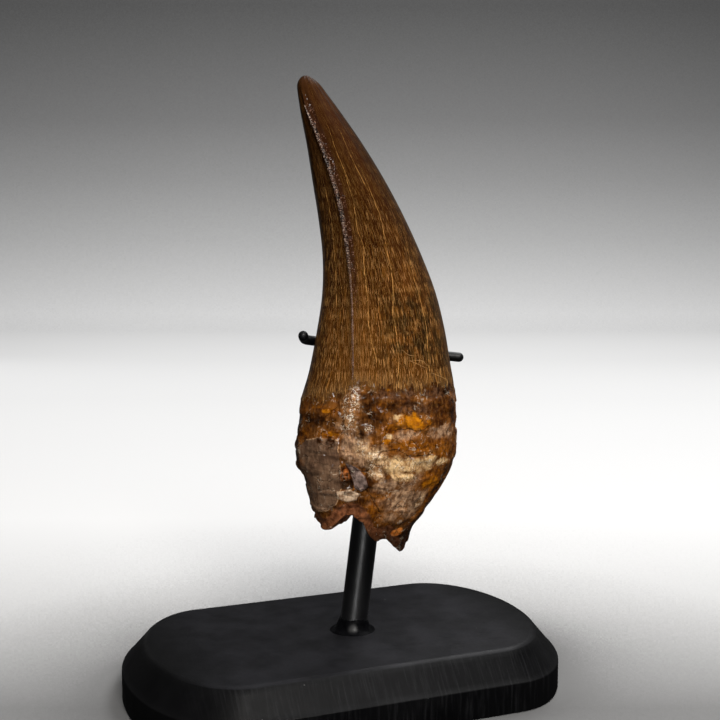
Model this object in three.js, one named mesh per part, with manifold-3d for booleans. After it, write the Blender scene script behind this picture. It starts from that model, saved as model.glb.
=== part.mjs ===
// A large fossil theropod tooth with its root, resting in the wire cradle of a small display stand.
// Millimetres, +Z up. The origin is the middle of the plinth's underside.

import * as THREE from 'three';
import { mergeVertices } from 'three/addons/utils/BufferGeometryUtils.js';
import Module from 'manifold-3d';

const wasm = await Module();
wasm.setup();

// ---------------------------------------------------------------- driving dimensions

const GAP = 0.3;                      // clearance left between neighbouring pieces

// plinth: a painted board with straight sides, half-elliptical ends and a chamfered upper edge
const PLINTH_LENGTH = 102;
const PLINTH_DEPTH = 63.5;
const PLINTH_THICKNESS = 13;
const PLINTH_SIDE = 7;                // height of the upright side below the chamfer
const PLINTH_END = 20;                // how far the rounded ends reach along the length
const CHAMFER_INSET = 5.5;
const CHAMFER_END_INSET = 3;          // the upper outline's rounded ends are this much shorter
const EDGE_SOFTENING = 0.5;           // the sanded arrises

// post: 1/4 inch rod, seated in a blind hole, leaning to the right and a little backwards
const POST_DIAMETER = 6.35;
const POST_LENGTH = 69.5;             // above the plinth
const POST_SEAT = 7.5;                // in the plinth
const POST_FOOT = [2.1, -1.5];        // where its axis meets the plinth's top
const LEAN_BACK = 4 * Math.PI / 180;
const LEAN_RIGHT = 9 * Math.PI / 180;

// cradle: one bent wire, brazed across the front of the post's head
const WIRE_DIAMETER = 2.2;
const WIRE_HEIGHT = 66.2;             // along the post
const CRADLE_PATH = [                 // in the leaning frame of the post's foot, left end first
  [-14.1, -11.5, 69.5],
  [-13.5, -10.0, 69.1],
  [-12.7, -8.7, 68.6],
  [-11.2, -7.7, 68.3],
  [-9.0, -6.8, 68.0],
  [-5.0, -4.9, 67.5],
  [1.5, -3.5, 66.7],
  [10.5, -4.75, 65.3],
  [17.0, -6.4, 64.2],
  [24.8, -8.8, 63.1],
];

// tooth: length of the specimen and the shape of its level sections
const TOOTH_LENGTH = 103.7;
const TOOTH_DISTANCE = 16.0;          // from the post's axis forward to the tooth's middle plane
const TOOTH_RAISE = 21.6;             // from the post's foot up to the lowest point of the root
const FLATNESS = 0.7;                 // thickness of a section against its width
const TIP_ROUNDING = 2.6;
const CROWN_SWAY = 1.5;               // the tip bends this far backwards
const ROOT_SWAY = 0.8;                // and the root's broken end this far

// height above the lowest point, inner (concave) edge, outer (convex) edge
const SECTIONS = [
  [0, -11.4, 7.8],
  [5, -13.5, 9.2],
  [11, -14.8, 13.8],
  [18, -16.4, 18.3],
  [25, -17.1, 19.2],
  [33, -16.2, 19.2],
  [41, -13.7, 18.1],
  [49, -11.8, 16.9],
  [57, -10.4, 15.0],
  [65, -10.1, 12.0],
  [73, -10.8, 8.4],
  [81, -11.9, 4.2],
  [89, -13.0, -0.7],
  [96, -14.2, -5.6],
  [101, -14.8, -9.3],
  [TOOTH_LENGTH, -14.9, -11.0],
];

// angles round a section are in degrees: 0 is the convex edge, 90 the back, -90 the front
// broken lower rim of the root: angle, height
const RIM = [
  [-176, 6.6],
  [-165, 6.3],
  [-150, 7.6],
  [-140, 8.9],
  [-127, 9.9],
  [-114, 8.4],
  [-104, 5.8],
  [-94, 3.5],
  [-80, 3.6],
  [-71, 2.2],
  [-58, 0.6],
  [-48, 0],
  [-35, 0.9],
  [-20, 3.6],
  [0, 7.6],
  [22, 10.2],
  [50, 11.2],
  [76, 13.4],
  [100, 11.6],
  [128, 13.2],
  [150, 10.6],
  [168, 8.4],
];

// serrated edges: height, angle of the crest; the front one is the edge of the concave side
const FRONT_CARINA = [
  [20, -123],
  [36, -126.5],
  [50, -132],
  [62, -134.5],
  [78, -130],
  [90, -134.5],
  [98, -145],
  [TOOTH_LENGTH, -150],
];
const BACK_CARINA = [
  [20, 28],
  [60, 34],
  [90, 38],
  [TOOTH_LENGTH, 30],
];
const FRONT_CREST = { from: 37, to: 97, height: 0.5 };
const BACK_CREST = { from: 52, to: 97, height: 0.45 };
const DENTICLE_PITCH = 0.5;
const DENTICLE_HEIGHT = 0.16;

// lower edge of the enamel: angle, height
const ENAMEL_EDGE = [
  [-165, 34.6],
  [-148, 35.2],
  [-126, 36.4],
  [-110, 37.6],
  [-87, 36.7],
  [-72, 37],
  [-37, 36.2],
  [-12, 34],
  [40, 35.5],
  [95, 37.5],
  [150, 34],
];
const ENAMEL_STEP = 0.25;

// broken and worn places on the root: middle (angle, height), half sizes, rise or depth
const ROOT_RELIEF = [
  { name: 'broken pit', angle: -125, height: 18.3, wide: 9, tall: 3, rise: -1.3 },
  { name: 'notch hollow', angle: -124, height: 11.5, wide: 12, tall: 4, rise: -0.7 },
  { name: 'worn keel', angle: -126, height: 30.5, wide: 5, tall: 6.5, rise: 0.45 },
  { name: 'standing flake', angle: 176, height: 22.6, wide: 17, tall: 4.2, rise: 0.8 },
  { name: 'flake scar', angle: 174, height: 15.5, wide: 20, tall: 4, rise: -0.35 },
  { name: 'upper scar', angle: -82, height: 31.5, wide: 10, tall: 2.2, rise: -0.3 },
  { name: 'pale boss', angle: -88, height: 20, wide: 20, tall: 5, rise: 0.3 },
  { name: 'back pit', angle: 62, height: 21, wide: 10, tall: 3.5, rise: -0.9 },
  { name: 'back hollow', angle: 118, height: 24, wide: 16, tall: 8, rise: -0.5 },
];
const RIM_BEVEL = { height: 3.2, depth: 0.5 };   // the outer skin has flaked off above the break
const ROOT_WAVE = 0.16;                          // slight unevenness of the root's surface

// pulp hollow, open at the break
const PULP_TOP = 27;
const PULP_WIDTH = 13.4;
const PULP_DEPTH = 9.8;
const BREAK_SLOPE = 1.2;              // the broken face rises this much towards the hollow
const PULP_LOWEST = 5;                // and the longest splinters are cut away behind

// how finely the tooth is divided
const FACE_COLUMNS = 22;              // from the front crest over the convex edge to the back crest
const BACK_COLUMNS = 26;
const CREST_FOOT_ANGLE = 4.5;
const CREST_SHOULDER_ANGLE = 10;
const LEVEL_FROM = 16;                // below this height the rings bend towards the broken rim

// ---------------------------------------------------------------- materials

const material = (color, roughness, metalness = 0) =>
  new THREE.MeshStandardMaterial({ color, roughness, metalness, side: THREE.FrontSide });

const ENAMEL_BROWN = material(0x5a3415, 0.35);
const BLACK_PAINT = material(0x1b1b1d, 0.5);
const BLACK_STEEL = material(0x141416, 0.4, 0.3);

// ---------------------------------------------------------------- small helpers

const radians = (degrees) => degrees * Math.PI / 180;

// smooth curve through [position, value] pairs, level beyond the first and the last
function through(pairs, position) {
  const last = pairs.length - 1;
  const at = Math.min(Math.max(position, pairs[0][0]), pairs[last][0]);
  let i = 0;
  while (i < last - 1 && at > pairs[i + 1][0]) i += 1;
  const slope = (k) => {
    const a = pairs[Math.max(k - 1, 0)];
    const b = pairs[Math.min(k + 1, last)];
    return (b[1] - a[1]) / (b[0] - a[0]);
  };
  const width = pairs[i + 1][0] - pairs[i][0];
  const t = (at - pairs[i][0]) / width;
  const t2 = t * t;
  const t3 = t2 * t;
  return (2 * t3 - 3 * t2 + 1) * pairs[i][1] + (t3 - 2 * t2 + t) * width * slope(i)
    + (3 * t2 - 2 * t3) * pairs[i + 1][1] + (t3 - t2) * width * slope(i + 1);
}

// the same for values that run once round a section
function roundSection(pairs, angle) {
  const turn = ((angle - pairs[0][0]) % 360 + 360) % 360 + pairs[0][0];
  const before = pairs.slice(-2).map(([a, v]) => [a - 360, v]);
  const after = pairs.slice(0, 2).map(([a, v]) => [a + 360, v]);
  return through([...before, ...pairs, ...after], turn);
}

const angleBetween = (a, b) => ((a - b + 540) % 360 + 360) % 360 - 180;

function smoothStep(low, high, value) {
  const t = Math.min(Math.max((value - low) / (high - low), 0), 1);
  return t * t * (3 - 2 * t);
}

// closed skin over rings of points; an end is a point, and without ends the skin closes on itself
class Skin {
  constructor() {
    this.positions = [];
    this.index = [];
  }

  point(p) {
    this.positions.push(p.x, p.y, p.z);
    return this.positions.length / 3 - 1;
  }

  ring(points) {
    return points.map((p) => this.point(p));
  }

  // lower ring, upper ring, both counter-clockwise seen from outside the upper end
  band(lower, upper, fanAt = new Map()) {
    const count = lower.length;
    for (let j = 0; j < count; j += 1) {
      const k = (j + 1) % count;
      const rightCrest = fanAt.get(k);
      const leftCrest = fanAt.get(j);
      if (rightCrest) {
        this.fan(lower[j], [lower[k], ...rightCrest, upper[k]]);
        this.index.push(lower[j], upper[k], upper[j]);
      } else if (leftCrest) {
        this.fan(lower[k], [upper[j], ...[...leftCrest].reverse(), lower[j]]);
        this.index.push(lower[k], upper[k], upper[j]);
      } else {
        this.index.push(lower[j], lower[k], upper[k], lower[j], upper[k], upper[j]);
      }
    }
  }

  fan(centre, edge) {
    for (let i = 0; i + 1 < edge.length; i += 1) this.index.push(centre, edge[i], edge[i + 1]);
  }

  cap(centre, ring, facesUp) {
    const c = this.point(centre);
    ring.forEach((a, j) => {
      const b = ring[(j + 1) % ring.length];
      this.index.push(c, facesUp ? a : b, facesUp ? b : a);
    });
  }

  geometry() {
    const geometry = new THREE.BufferGeometry();
    geometry.setAttribute('position', new THREE.Float32BufferAttribute(this.positions, 3));
    geometry.setIndex(this.index);
    geometry.computeVertexNormals();
    return geometry;
  }
}

function toManifold(geometry) {
  const bare = geometry.clone();
  bare.deleteAttribute('normal');
  bare.deleteAttribute('uv');
  const merged = mergeVertices(bare, 1e-4);
  const vertProperties = new Float32Array(merged.attributes.position.array);
  const triVerts = new Uint32Array(merged.index.array);
  return new wasm.Manifold(new wasm.Mesh({ numProp: 3, vertProperties, triVerts }));
}

function toGeometry(solid) {
  const { numProp, vertProperties, triVerts } = solid.getMesh();
  const geometry = new THREE.BufferGeometry();
  const positions = new Float32Array(vertProperties.length / numProp * 3);
  for (let i = 0; i < positions.length / 3; i += 1) {
    positions.set(vertProperties.subarray(i * numProp, i * numProp + 3), i * 3);
  }
  geometry.setAttribute('position', new THREE.BufferAttribute(positions, 3));
  geometry.setIndex(new THREE.BufferAttribute(new Uint32Array(triVerts), 1));
  geometry.computeVertexNormals();
  return geometry;
}

function mesh(name, geometry, surface) {
  const made = new THREE.Mesh(geometry, surface);
  made.name = name;
  return made;
}

// ---------------------------------------------------------------- the leaning frames

const stand = new THREE.Group();

const leaning = new THREE.Group();                // origin at the post's foot, leaning backwards
leaning.position.set(POST_FOOT[0], POST_FOOT[1], PLINTH_THICKNESS);
leaning.rotation.x = -LEAN_BACK;
stand.add(leaning);

const postFrame = new THREE.Group();              // +Z along the post
postFrame.rotation.y = LEAN_RIGHT;
leaning.add(postFrame);
stand.updateMatrixWorld(true);

// ---------------------------------------------------------------- plinth

// outline with half-elliptical ends, at one height
function plinthOutline(inset, endInset, z) {
  const half = PLINTH_LENGTH / 2 - inset;
  const deep = PLINTH_DEPTH / 2 - inset;
  const end = PLINTH_END - endInset;
  const arcSteps = 24;
  const points = [];
  for (let side = 0; side < 2; side += 1) {
    const sign = side ? -1 : 1;
    for (let i = 0; i <= arcSteps; i += 1) {
      const angle = -Math.PI / 2 + Math.PI * i / arcSteps;
      const x = half - end + end * Math.cos(angle);
      points.push(new THREE.Vector3(sign * x, sign * deep * Math.sin(angle), z));
    }
  }
  return points;
}

function plinthBlock() {
  const soft = EDGE_SOFTENING;
  const top = PLINTH_THICKNESS;
  const skin = new Skin();
  const profile = [
    [soft, soft, 0],
    [0, 0, soft],
    [0, 0, PLINTH_SIDE - soft],
    [soft * 0.7, soft * 0.5, PLINTH_SIDE + soft * 0.7],
    [CHAMFER_INSET - soft, CHAMFER_END_INSET - soft * 0.7, top - soft * 0.8],
    [CHAMFER_INSET + soft, CHAMFER_END_INSET + soft, top],
  ];
  const rings = profile.map(([inset, end, z]) => skin.ring(plinthOutline(inset, end, z)));
  rings.slice(1).forEach((ring, i) => skin.band(rings[i], ring));
  skin.cap(new THREE.Vector3(0, 0, 0), rings[0], false);
  skin.cap(new THREE.Vector3(0, 0, top), rings[rings.length - 1], true);
  return skin.geometry();
}

// the blind hole follows the leaning post
function postHole() {
  const above = 4;
  const depth = POST_SEAT + 0.5;
  const hole = new THREE.CylinderGeometry(
    POST_DIAMETER / 2 + GAP, POST_DIAMETER / 2 + GAP, depth + above, 32);
  hole.rotateX(Math.PI / 2);
  hole.translate(0, 0, (above - depth) / 2);
  hole.applyMatrix4(postFrame.matrixWorld);
  return hole;
}

const plinthSolid = toManifold(plinthBlock()).subtract(toManifold(postHole()));
stand.add(mesh('plinth', toGeometry(plinthSolid), BLACK_PAINT));

// ---------------------------------------------------------------- post

function postRod() {
  const radius = POST_DIAMETER / 2;
  const edge = 0.8;                               // rounded head
  const profile = [new THREE.Vector2(0, -POST_SEAT), new THREE.Vector2(radius, -POST_SEAT)];
  const arcSteps = 4;
  for (let i = 0; i <= arcSteps; i += 1) {
    const angle = Math.PI / 2 * i / arcSteps;
    const r = radius - edge + edge * Math.cos(angle);
    profile.push(new THREE.Vector2(r, POST_LENGTH - edge + edge * Math.sin(angle)));
  }
  profile.push(new THREE.Vector2(0, POST_LENGTH));
  return new THREE.LatheGeometry(profile, 28).rotateX(Math.PI / 2);
}

postFrame.add(mesh('post', postRod(), BLACK_STEEL));

// ---------------------------------------------------------------- fillet round the post's foot

// ring round the post, turning from the plinth's plane to square across the post as it rises
function footRing(radius, along, squareness) {
  const foot = new THREE.Vector3().setFromMatrixPosition(postFrame.matrixWorld);
  const axis = new THREE.Vector3(0, 0, 1).transformDirection(postFrame.matrixWorld);
  const normal = new THREE.Vector3(0, 0, 1).lerp(axis, squareness).normalize();
  const acrossX = new THREE.Vector3(0, 1, 0).cross(normal).normalize();
  const acrossY = new THREE.Vector3().crossVectors(normal, acrossX);
  const centre = foot.addScaledVector(axis, along);
  const points = [];
  const steps = 28;
  for (let i = 0; i < steps; i += 1) {
    const angle = 2 * Math.PI * i / steps;
    points.push(centre.clone()
      .addScaledVector(acrossX, radius * Math.cos(angle))
      .addScaledVector(acrossY, radius * Math.sin(angle)));
  }
  return points;
}

function footBead() {
  const bore = POST_DIAMETER / 2 + GAP;
  const skin = new Skin();
  const profile = [
    [bore + 0.08, GAP, 0],
    [bore + 2.0, GAP, 0],
    [bore + 1.0, 0.85, 0.2],
    [bore + 0.5, 1.5, 0.6],
    [bore + 0.3, 2.3, 1],
    [bore, 2.4, 1],
  ];
  const rings = profile.map(([r, along, square]) => skin.ring(footRing(r, along, square)));
  rings.forEach((ring, i) => skin.band(ring, rings[(i + 1) % rings.length]));
  return skin.geometry();
}

stand.add(mesh('foot_bead', footBead(), BLACK_STEEL));

// ---------------------------------------------------------------- cradle wire

function cradleWire() {
  const radius = WIRE_DIAMETER / 2;
  const curve = new THREE.CatmullRomCurve3(CRADLE_PATH.map((p) => new THREE.Vector3(...p)));
  const steps = 32;
  const frames = curve.computeFrenetFrames(steps, false);
  const skin = new Skin();
  const sides = 10;
  const ringAt = (centre, step, r) => {
    const points = [];
    for (let j = 0; j < sides; j += 1) {
      const angle = 2 * Math.PI * j / sides;
      points.push(centre.clone()
        .addScaledVector(frames.normals[step], r * Math.cos(angle))
        .addScaledVector(frames.binormals[step], r * Math.sin(angle)));
    }
    return skin.ring(points);
  };
  const rings = [];
  const domeSteps = [1, 2, 3];                    // rounded ends
  const end = (step, sign) => domeSteps.map((k) => {
    const angle = Math.PI / 2 * k / (domeSteps.length + 1);
    const centre = curve.getPointAt(step / steps)
      .addScaledVector(frames.tangents[step], sign * radius * Math.sin(angle));
    return ringAt(centre, step, radius * Math.cos(angle));
  });
  rings.push(...end(0, -1).reverse());
  for (let i = 0; i <= steps; i += 1) rings.push(ringAt(curve.getPointAt(i / steps), i, radius));
  rings.push(...end(steps, 1));
  rings.slice(1).forEach((ring, i) => skin.band(rings[i], ring));
  const first = curve.getPointAt(0).addScaledVector(frames.tangents[0], -radius);
  const last = curve.getPointAt(1).addScaledVector(frames.tangents[steps], radius);
  skin.cap(first, rings[0], false);
  skin.cap(last, rings[rings.length - 1], true);
  return skin.geometry();
}

// lump of braze that holds the wire to the front of the post's head
function brazeLump() {
  const lump = new THREE.SphereGeometry(1, 14, 10);
  lump.scale(3.1, 1.9, 2.1);
  lump.translate(0, -POST_DIAMETER / 2 - 0.6, WIRE_HEIGHT);
  return toManifold(lump.applyMatrix4(postFrame.matrix));
}

function clearedPost() {
  const rod = new THREE.CylinderGeometry(
    POST_DIAMETER / 2 + GAP, POST_DIAMETER / 2 + GAP, 2 * POST_LENGTH, 40);
  return toManifold(rod.rotateX(Math.PI / 2).applyMatrix4(postFrame.matrix));
}

const cradle = toManifold(cradleWire()).add(brazeLump()).subtract(clearedPost());
leaning.add(mesh('cradle_wire', toGeometry(cradle), BLACK_STEEL));

// ---------------------------------------------------------------- tooth

const innerEdge = (h) => through(SECTIONS.map(([height, inner]) => [height, inner]), h);
const outerEdge = (h) => through(SECTIONS.map(([height, , outer]) => [height, outer]), h);
const rimHeight = (angle) => roundSection(RIM, angle);
const enamelEdge = (angle) => roundSection(ENAMEL_EDGE, angle);

// half width, half thickness and middle of the section at a height
function sectionAt(h) {
  const below = TOOTH_LENGTH - h;
  const t = Math.min(below / TIP_ROUNDING, 1);
  const rounding = Math.sqrt(1 - (1 - t) ** 2);
  const half = (outerEdge(h) - innerEdge(h)) / 2 * rounding;
  const rise = (h - 35) / (TOOTH_LENGTH - 35);
  const sway = h > 35 ? CROWN_SWAY * rise * rise : ROOT_SWAY * ((35 - h) / 35) ** 2;
  return { half, thick: half * FLATNESS, x: (outerEdge(h) + innerEdge(h)) / 2, y: sway };
}

// how far the surface stands out from the plain section
function reliefAt(angle, h) {
  const onRoot = 1 - smoothStep(34, 38, h);
  let rise = ENAMEL_STEP * smoothStep(-0.7, 0.7, h - enamelEdge(angle));
  ROOT_RELIEF.forEach((spot) => {
    const across = angleBetween(angle, spot.angle) / spot.wide;
    const up = (h - spot.height) / spot.tall;
    rise += spot.rise * Math.max(1 - (across * across + up * up) ** 2, 0);
  });
  rise -= RIM_BEVEL.depth * (1 - smoothStep(RIM_BEVEL.height - 1, RIM_BEVEL.height, h - rimHeight(angle)));
  const turn = radians(angle);
  rise += ROOT_WAVE * onRoot * (Math.sin(5 * turn + 0.4 * h) + Math.sin(9 * turn - 0.55 * h + 1));
  return rise;
}

// a crest stands on a shallow trough that runs along each side of it
function crestAt(crest, fromCrest, h) {
  const length = smoothStep(crest.from - 3, crest.from + 3, h) * (1 - smoothStep(crest.to, crest.to + 5, h));
  const trough = 0.12 * Math.exp(-(((Math.abs(fromCrest) - 12) / 6) ** 2));
  return length * (crest.height * Math.exp(-((fromCrest / 3) ** 2)) - trough);
}

function surfacePoint(angle, h, lift = 0) {
  const section = sectionAt(h);
  const turn = radians(angle);
  const normal = new THREE.Vector2(Math.cos(turn) * FLATNESS, Math.sin(turn)).normalize();
  const slender = Math.min(section.half / 3, 1);  // relief fades into the rounded tip
  const front = crestAt(FRONT_CREST, angleBetween(angle, through(FRONT_CARINA, h)), h);
  const back = crestAt(BACK_CREST, angleBetween(angle, through(BACK_CARINA, h)), h);
  const rise = (reliefAt(angle, h) + front + back + lift) * slender;
  return new THREE.Vector3(
    section.x + section.half * Math.cos(turn) + rise * normal.x,
    section.y + section.thick * Math.sin(turn) + rise * normal.y,
    h,
  );
}

// column angles: close beside each crest, even between them
function columnsAt(h) {
  const front = through(FRONT_CARINA, h);
  const back = through(BACK_CARINA, h);
  const spread = (from, to, columns) => {
    const near = [0, CREST_FOOT_ANGLE, CREST_SHOULDER_ANGLE];
    const evenly = columns - 2 * near.length + 1;
    const start = from + CREST_SHOULDER_ANGLE;
    const span = to - CREST_SHOULDER_ANGLE - start;
    const angles = near.map((a) => from + a);
    for (let i = 1; i < evenly; i += 1) angles.push(start + span * i / evenly);
    angles.push(to - CREST_SHOULDER_ANGLE, to - CREST_FOOT_ANGLE);
    return angles;
  };
  return [...spread(front, back, FACE_COLUMNS), ...spread(back, front + 360, BACK_COLUMNS)];
}

// nominal ring heights: close over the root, wider over the crown, closing in at the tip
function ringHeights() {
  const heights = [0, 1.1, 2.4, 3.4, 5, 7, 9, 11, 13, 14.6];
  for (let h = LEVEL_FROM; h < 39; h += 1.35) heights.push(h);
  for (let h = 40; h < 100; h += 2) heights.push(h);
  [3.2, 2.2, 1.4, 0.8, 0.35, 0.08].forEach((below) => heights.push(TOOTH_LENGTH - below));
  return heights;
}

// near the root's end the rings follow the broken rim
function bentHeight(nominal, angle) {
  if (nominal >= LEVEL_FROM) return nominal;
  const rim = rimHeight(angle);
  return rim + (LEVEL_FROM - rim) * nominal / LEVEL_FROM;
}

// points of the serrated crest between two rings, a denticle and a gap in turn
function denticles(skin, crest, carina, low, high) {
  if (low < crest.from || high > crest.to) return null;
  const count = Math.round((high - low) / DENTICLE_PITCH) * 2;
  const points = [];
  for (let i = 1; i < count; i += 1) {
    const h = low + (high - low) * i / count;
    const lift = i % 2 ? DENTICLE_HEIGHT : -DENTICLE_HEIGHT / 2;
    points.push(skin.point(surfacePoint(through(carina, h), h, lift)));
  }
  return points;
}

// wall of the pulp hollow: t is 0 at the broken rim and 1 at its roof
function pulpPoint(angle, t) {
  const rim = Math.max(rimHeight(angle) + BREAK_SLOPE, PULP_LOWEST);
  const h = rim + (PULP_TOP - rim) * t;
  const section = sectionAt(h);
  const turn = radians(angle);
  const closing = Math.sqrt(1 - t ** 1.6);
  const wide = PULP_WIDTH / 2 * closing;
  const deep = PULP_DEPTH / 2 * closing;
  return new THREE.Vector3(
    section.x + wide * Math.cos(turn), section.y + deep * Math.sin(turn), h);
}

function toothGeometry() {
  const skin = new Skin();
  const heights = ringHeights();
  const rings = heights.map((nominal) => skin.ring(
    columnsAt(nominal).map((angle) => surfacePoint(angle, bentHeight(nominal, angle)))));
  for (let i = 0; i + 1 < rings.length; i += 1) {
    const fanAt = new Map();
    const front = denticles(skin, FRONT_CREST, FRONT_CARINA, heights[i], heights[i + 1]);
    const back = denticles(skin, BACK_CREST, BACK_CARINA, heights[i], heights[i + 1]);
    if (front) fanAt.set(0, front);
    if (back) fanAt.set(FACE_COLUMNS, back);
    skin.band(rings[i], rings[i + 1], fanAt);
  }
  const tip = sectionAt(TOOTH_LENGTH);
  skin.cap(new THREE.Vector3(tip.x, tip.y, TOOTH_LENGTH), rings[rings.length - 1], true);

  const pulpSteps = [0, 0.12, 0.28, 0.45, 0.62, 0.78, 0.9, 0.97];
  const pulp = pulpSteps.map((t) => skin.ring(columnsAt(0).map((angle) => pulpPoint(angle, t))));
  skin.band(pulp[0], rings[0]);
  pulp.slice(1).forEach((ring, i) => skin.band(ring, pulp[i]));
  const roof = sectionAt(PULP_TOP);
  skin.cap(new THREE.Vector3(roof.x, roof.y, PULP_TOP + 0.3), pulp[pulp.length - 1], false);
  return skin.geometry();
}

const toothMesh = mesh('tooth', toothGeometry(), ENAMEL_BROWN);
toothMesh.position.set(0, -TOOTH_DISTANCE, TOOTH_RAISE);
leaning.add(toothMesh);

export default stand;
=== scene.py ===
"""Fossil dinosaur tooth held by a bent wire on a post, on a black lacquered plinth.

Lengths are millimetres until a mesh is finished, then metres. A place on the tooth is an angle round
its section (0 the convex edge, 90 the back, -90 the front) and a height above its lowest splinter.
"""

import math
from types import SimpleNamespace

import bmesh
import bpy
import numpy as np
from mathutils import Euler, Matrix, Vector


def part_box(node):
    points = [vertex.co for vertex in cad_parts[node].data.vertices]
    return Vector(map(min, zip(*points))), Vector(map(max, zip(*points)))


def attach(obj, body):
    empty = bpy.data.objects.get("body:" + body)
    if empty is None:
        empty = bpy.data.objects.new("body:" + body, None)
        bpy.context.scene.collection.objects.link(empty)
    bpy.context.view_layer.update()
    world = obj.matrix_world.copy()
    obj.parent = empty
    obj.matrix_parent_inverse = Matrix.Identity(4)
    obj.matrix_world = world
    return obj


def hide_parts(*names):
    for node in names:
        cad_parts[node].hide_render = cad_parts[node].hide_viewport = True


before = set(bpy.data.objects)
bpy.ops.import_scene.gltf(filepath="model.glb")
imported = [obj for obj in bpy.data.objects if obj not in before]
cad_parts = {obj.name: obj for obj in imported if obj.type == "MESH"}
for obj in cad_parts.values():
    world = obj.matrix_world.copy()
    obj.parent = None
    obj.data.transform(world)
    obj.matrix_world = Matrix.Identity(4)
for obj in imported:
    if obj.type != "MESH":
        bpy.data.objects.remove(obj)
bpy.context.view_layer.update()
MM = 0.001

# ---------------------------------------------------------------- sizes

PLINTH_LOW, PLINTH_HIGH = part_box("plinth")
PLINTH_LENGTH = (PLINTH_HIGH.x - PLINTH_LOW.x) / MM
PLINTH_DEPTH = (PLINTH_HIGH.y - PLINTH_LOW.y) / MM
PLINTH_TOP = PLINTH_HIGH.z / MM
PLINTH_SIDE = 7                # upright side below the chamfer
PLINTH_END = 20                # reach of the rounded ends along the length
CHAMFER_INSET = 5.5
CHAMFER_END_INSET = 3
ARRIS = 0.6                    # sanded edges

LEAN_BACK = math.radians(4)
LEAN_RIGHT = math.radians(9)
POST_FOOT = (2.1, -1.5)
POST_RADIUS = 6.35 / 2
POST_LENGTH = 69.5
POST_SEAT = 7.5
RUBBED = (0.6, -5.2, PLINTH_TOP + 1.3)     # glossy place on the front of the foot's fillet
BEAD_BORE = POST_RADIUS - 0.1
# the foot fillet's radius, height and share of the way from level to square across the post
BEAD_PROFILE = [
    (BEAD_BORE, -0.02, 0), (BEAD_BORE + 2.3, -0.02, 0), (BEAD_BORE + 1.9, 0.18, 0.02),
    (BEAD_BORE + 1.35, 0.5, 0.1), (BEAD_BORE + 0.95, 0.95, 0.25), (BEAD_BORE + 0.68, 1.5, 0.5),
    (BEAD_BORE + 0.48, 2.05, 0.8), (BEAD_BORE + 0.28, 2.45, 1), (BEAD_BORE + 0.1, 2.6, 1),
    (BEAD_BORE, 2.5, 1),
]
WIRE_RADIUS = 2.2 / 2
WIRE_HEIGHT = 66.2
# the wire's middle line in the leaning frame, left end first
CRADLE_PATH = [
    (-14.1, -11.5, 69.5), (-13.5, -10, 69.1), (-12.7, -8.7, 68.6), (-11.2, -7.7, 68.3), (-9, -6.8, 68),
    (-5, -4.9, 67.5), (1.5, -3.5, 66.7), (10.5, -4.75, 65.3), (17, -6.4, 64.2), (24.8, -8.8, 63.1),
]

TOOTH_LENGTH = 103.7
TOOTH_DISTANCE = 16            # in front of the post's axis
TOOTH_RAISE = 21.6             # above the post's foot
FLATNESS = 0.7                 # thickness of a section against its width
TIP_ROUNDING = 2.6
CROWN_SWAY = 1.5
ROOT_SWAY = 0.8
CERVIX = 35                    # mean height of the enamel's lower edge
# height, inner edge, outer edge
SECTIONS = [
    (0, -11.4, 7.8), (5, -13.5, 9.2), (11, -14.8, 13.8), (18, -16.4, 18.3), (25, -17.1, 19.2),
    (33, -16.2, 19.2), (41, -13.7, 18.1), (49, -11.8, 16.9), (57, -10.4, 15), (65, -10.1, 12),
    (73, -10.8, 8.4), (81, -11.9, 4.2), (89, -13, -0.7), (96, -14.2, -5.6), (101, -14.8, -9.3),
    (103.7, -14.9, -11),
]
# angle, height of the broken rim
RIM = [
    (-176, 7.6), (-166, 6.6), (-157, 6.1), (-150, 6.3), (-144, 7.3), (-137, 8.6), (-129, 9.6), (-114, 8.4),
    (-104, 5.8), (-94, 3.5), (-80, 3.6), (-71, 2.2), (-58, 0.6), (-48, 0), (-35, 0.9), (-20, 3.6), (0, 7.6),
    (22, 10.2), (50, 11.2), (76, 13.4), (100, 11.6), (128, 13.2), (150, 10.6), (168, 8.4),
]
# height, angle of the two serrated crests
FRONT_CARINA = [(20, -123), (36, -126.5), (50, -132), (62, -134.5), (78, -130), (90, -134.5), (98, -145),
                (103.7, -150)]
BACK_CARINA = [(20, 28), (60, 34), (90, 38), (103.7, 30)]
FRONT_CREST = (37, 97, 0.5)    # from, to, height
BACK_CREST = (52, 97, 0.45)
DENTICLE_PITCH = 0.5
# angle, height of the enamel's lower edge
ENAMEL_EDGE = [(-165, 34.4), (-148, 35), (-134, 35.6), (-126, 38), (-118, 37.2), (-104, 37.2), (-87, 36.5),
               (-72, 36.6), (-37, 36), (-12, 34), (40, 35.5), (95, 37.5), (150, 34)]
ENAMEL_STEP = 0.12
# angle, height, half width in degrees, half height, rise
ROOT_RELIEF = [
    (-125, 18.3, 9, 3, -0.52), (-124, 11.5, 12, 4, -0.7), (-126, 30.5, 5, 6.5, 0.45),
    (176, 22.6, 17, 4.2, 0.8), (174, 15.5, 20, 4, -0.35), (-82, 31.5, 10, 2.2, -0.3),
    (-88, 20, 20, 5, 0.3), (62, 21, 10, 3.5, -0.9), (118, 24, 16, 8, -0.5),
]
RIM_BEVEL = (3.2, 0.5)         # height and depth of the worn edge above the rim
LEVEL_FROM = 16                # from here up the mesh's rows are level
PULP_TOP = 27                  # roof of the pulp hollow
PULP_SIZE = (13.4, 9.8)
PULP_LOWEST = 5
BREAK_SLOPE = 1.2              # rise of the broken face from the rim to the hollow

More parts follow.
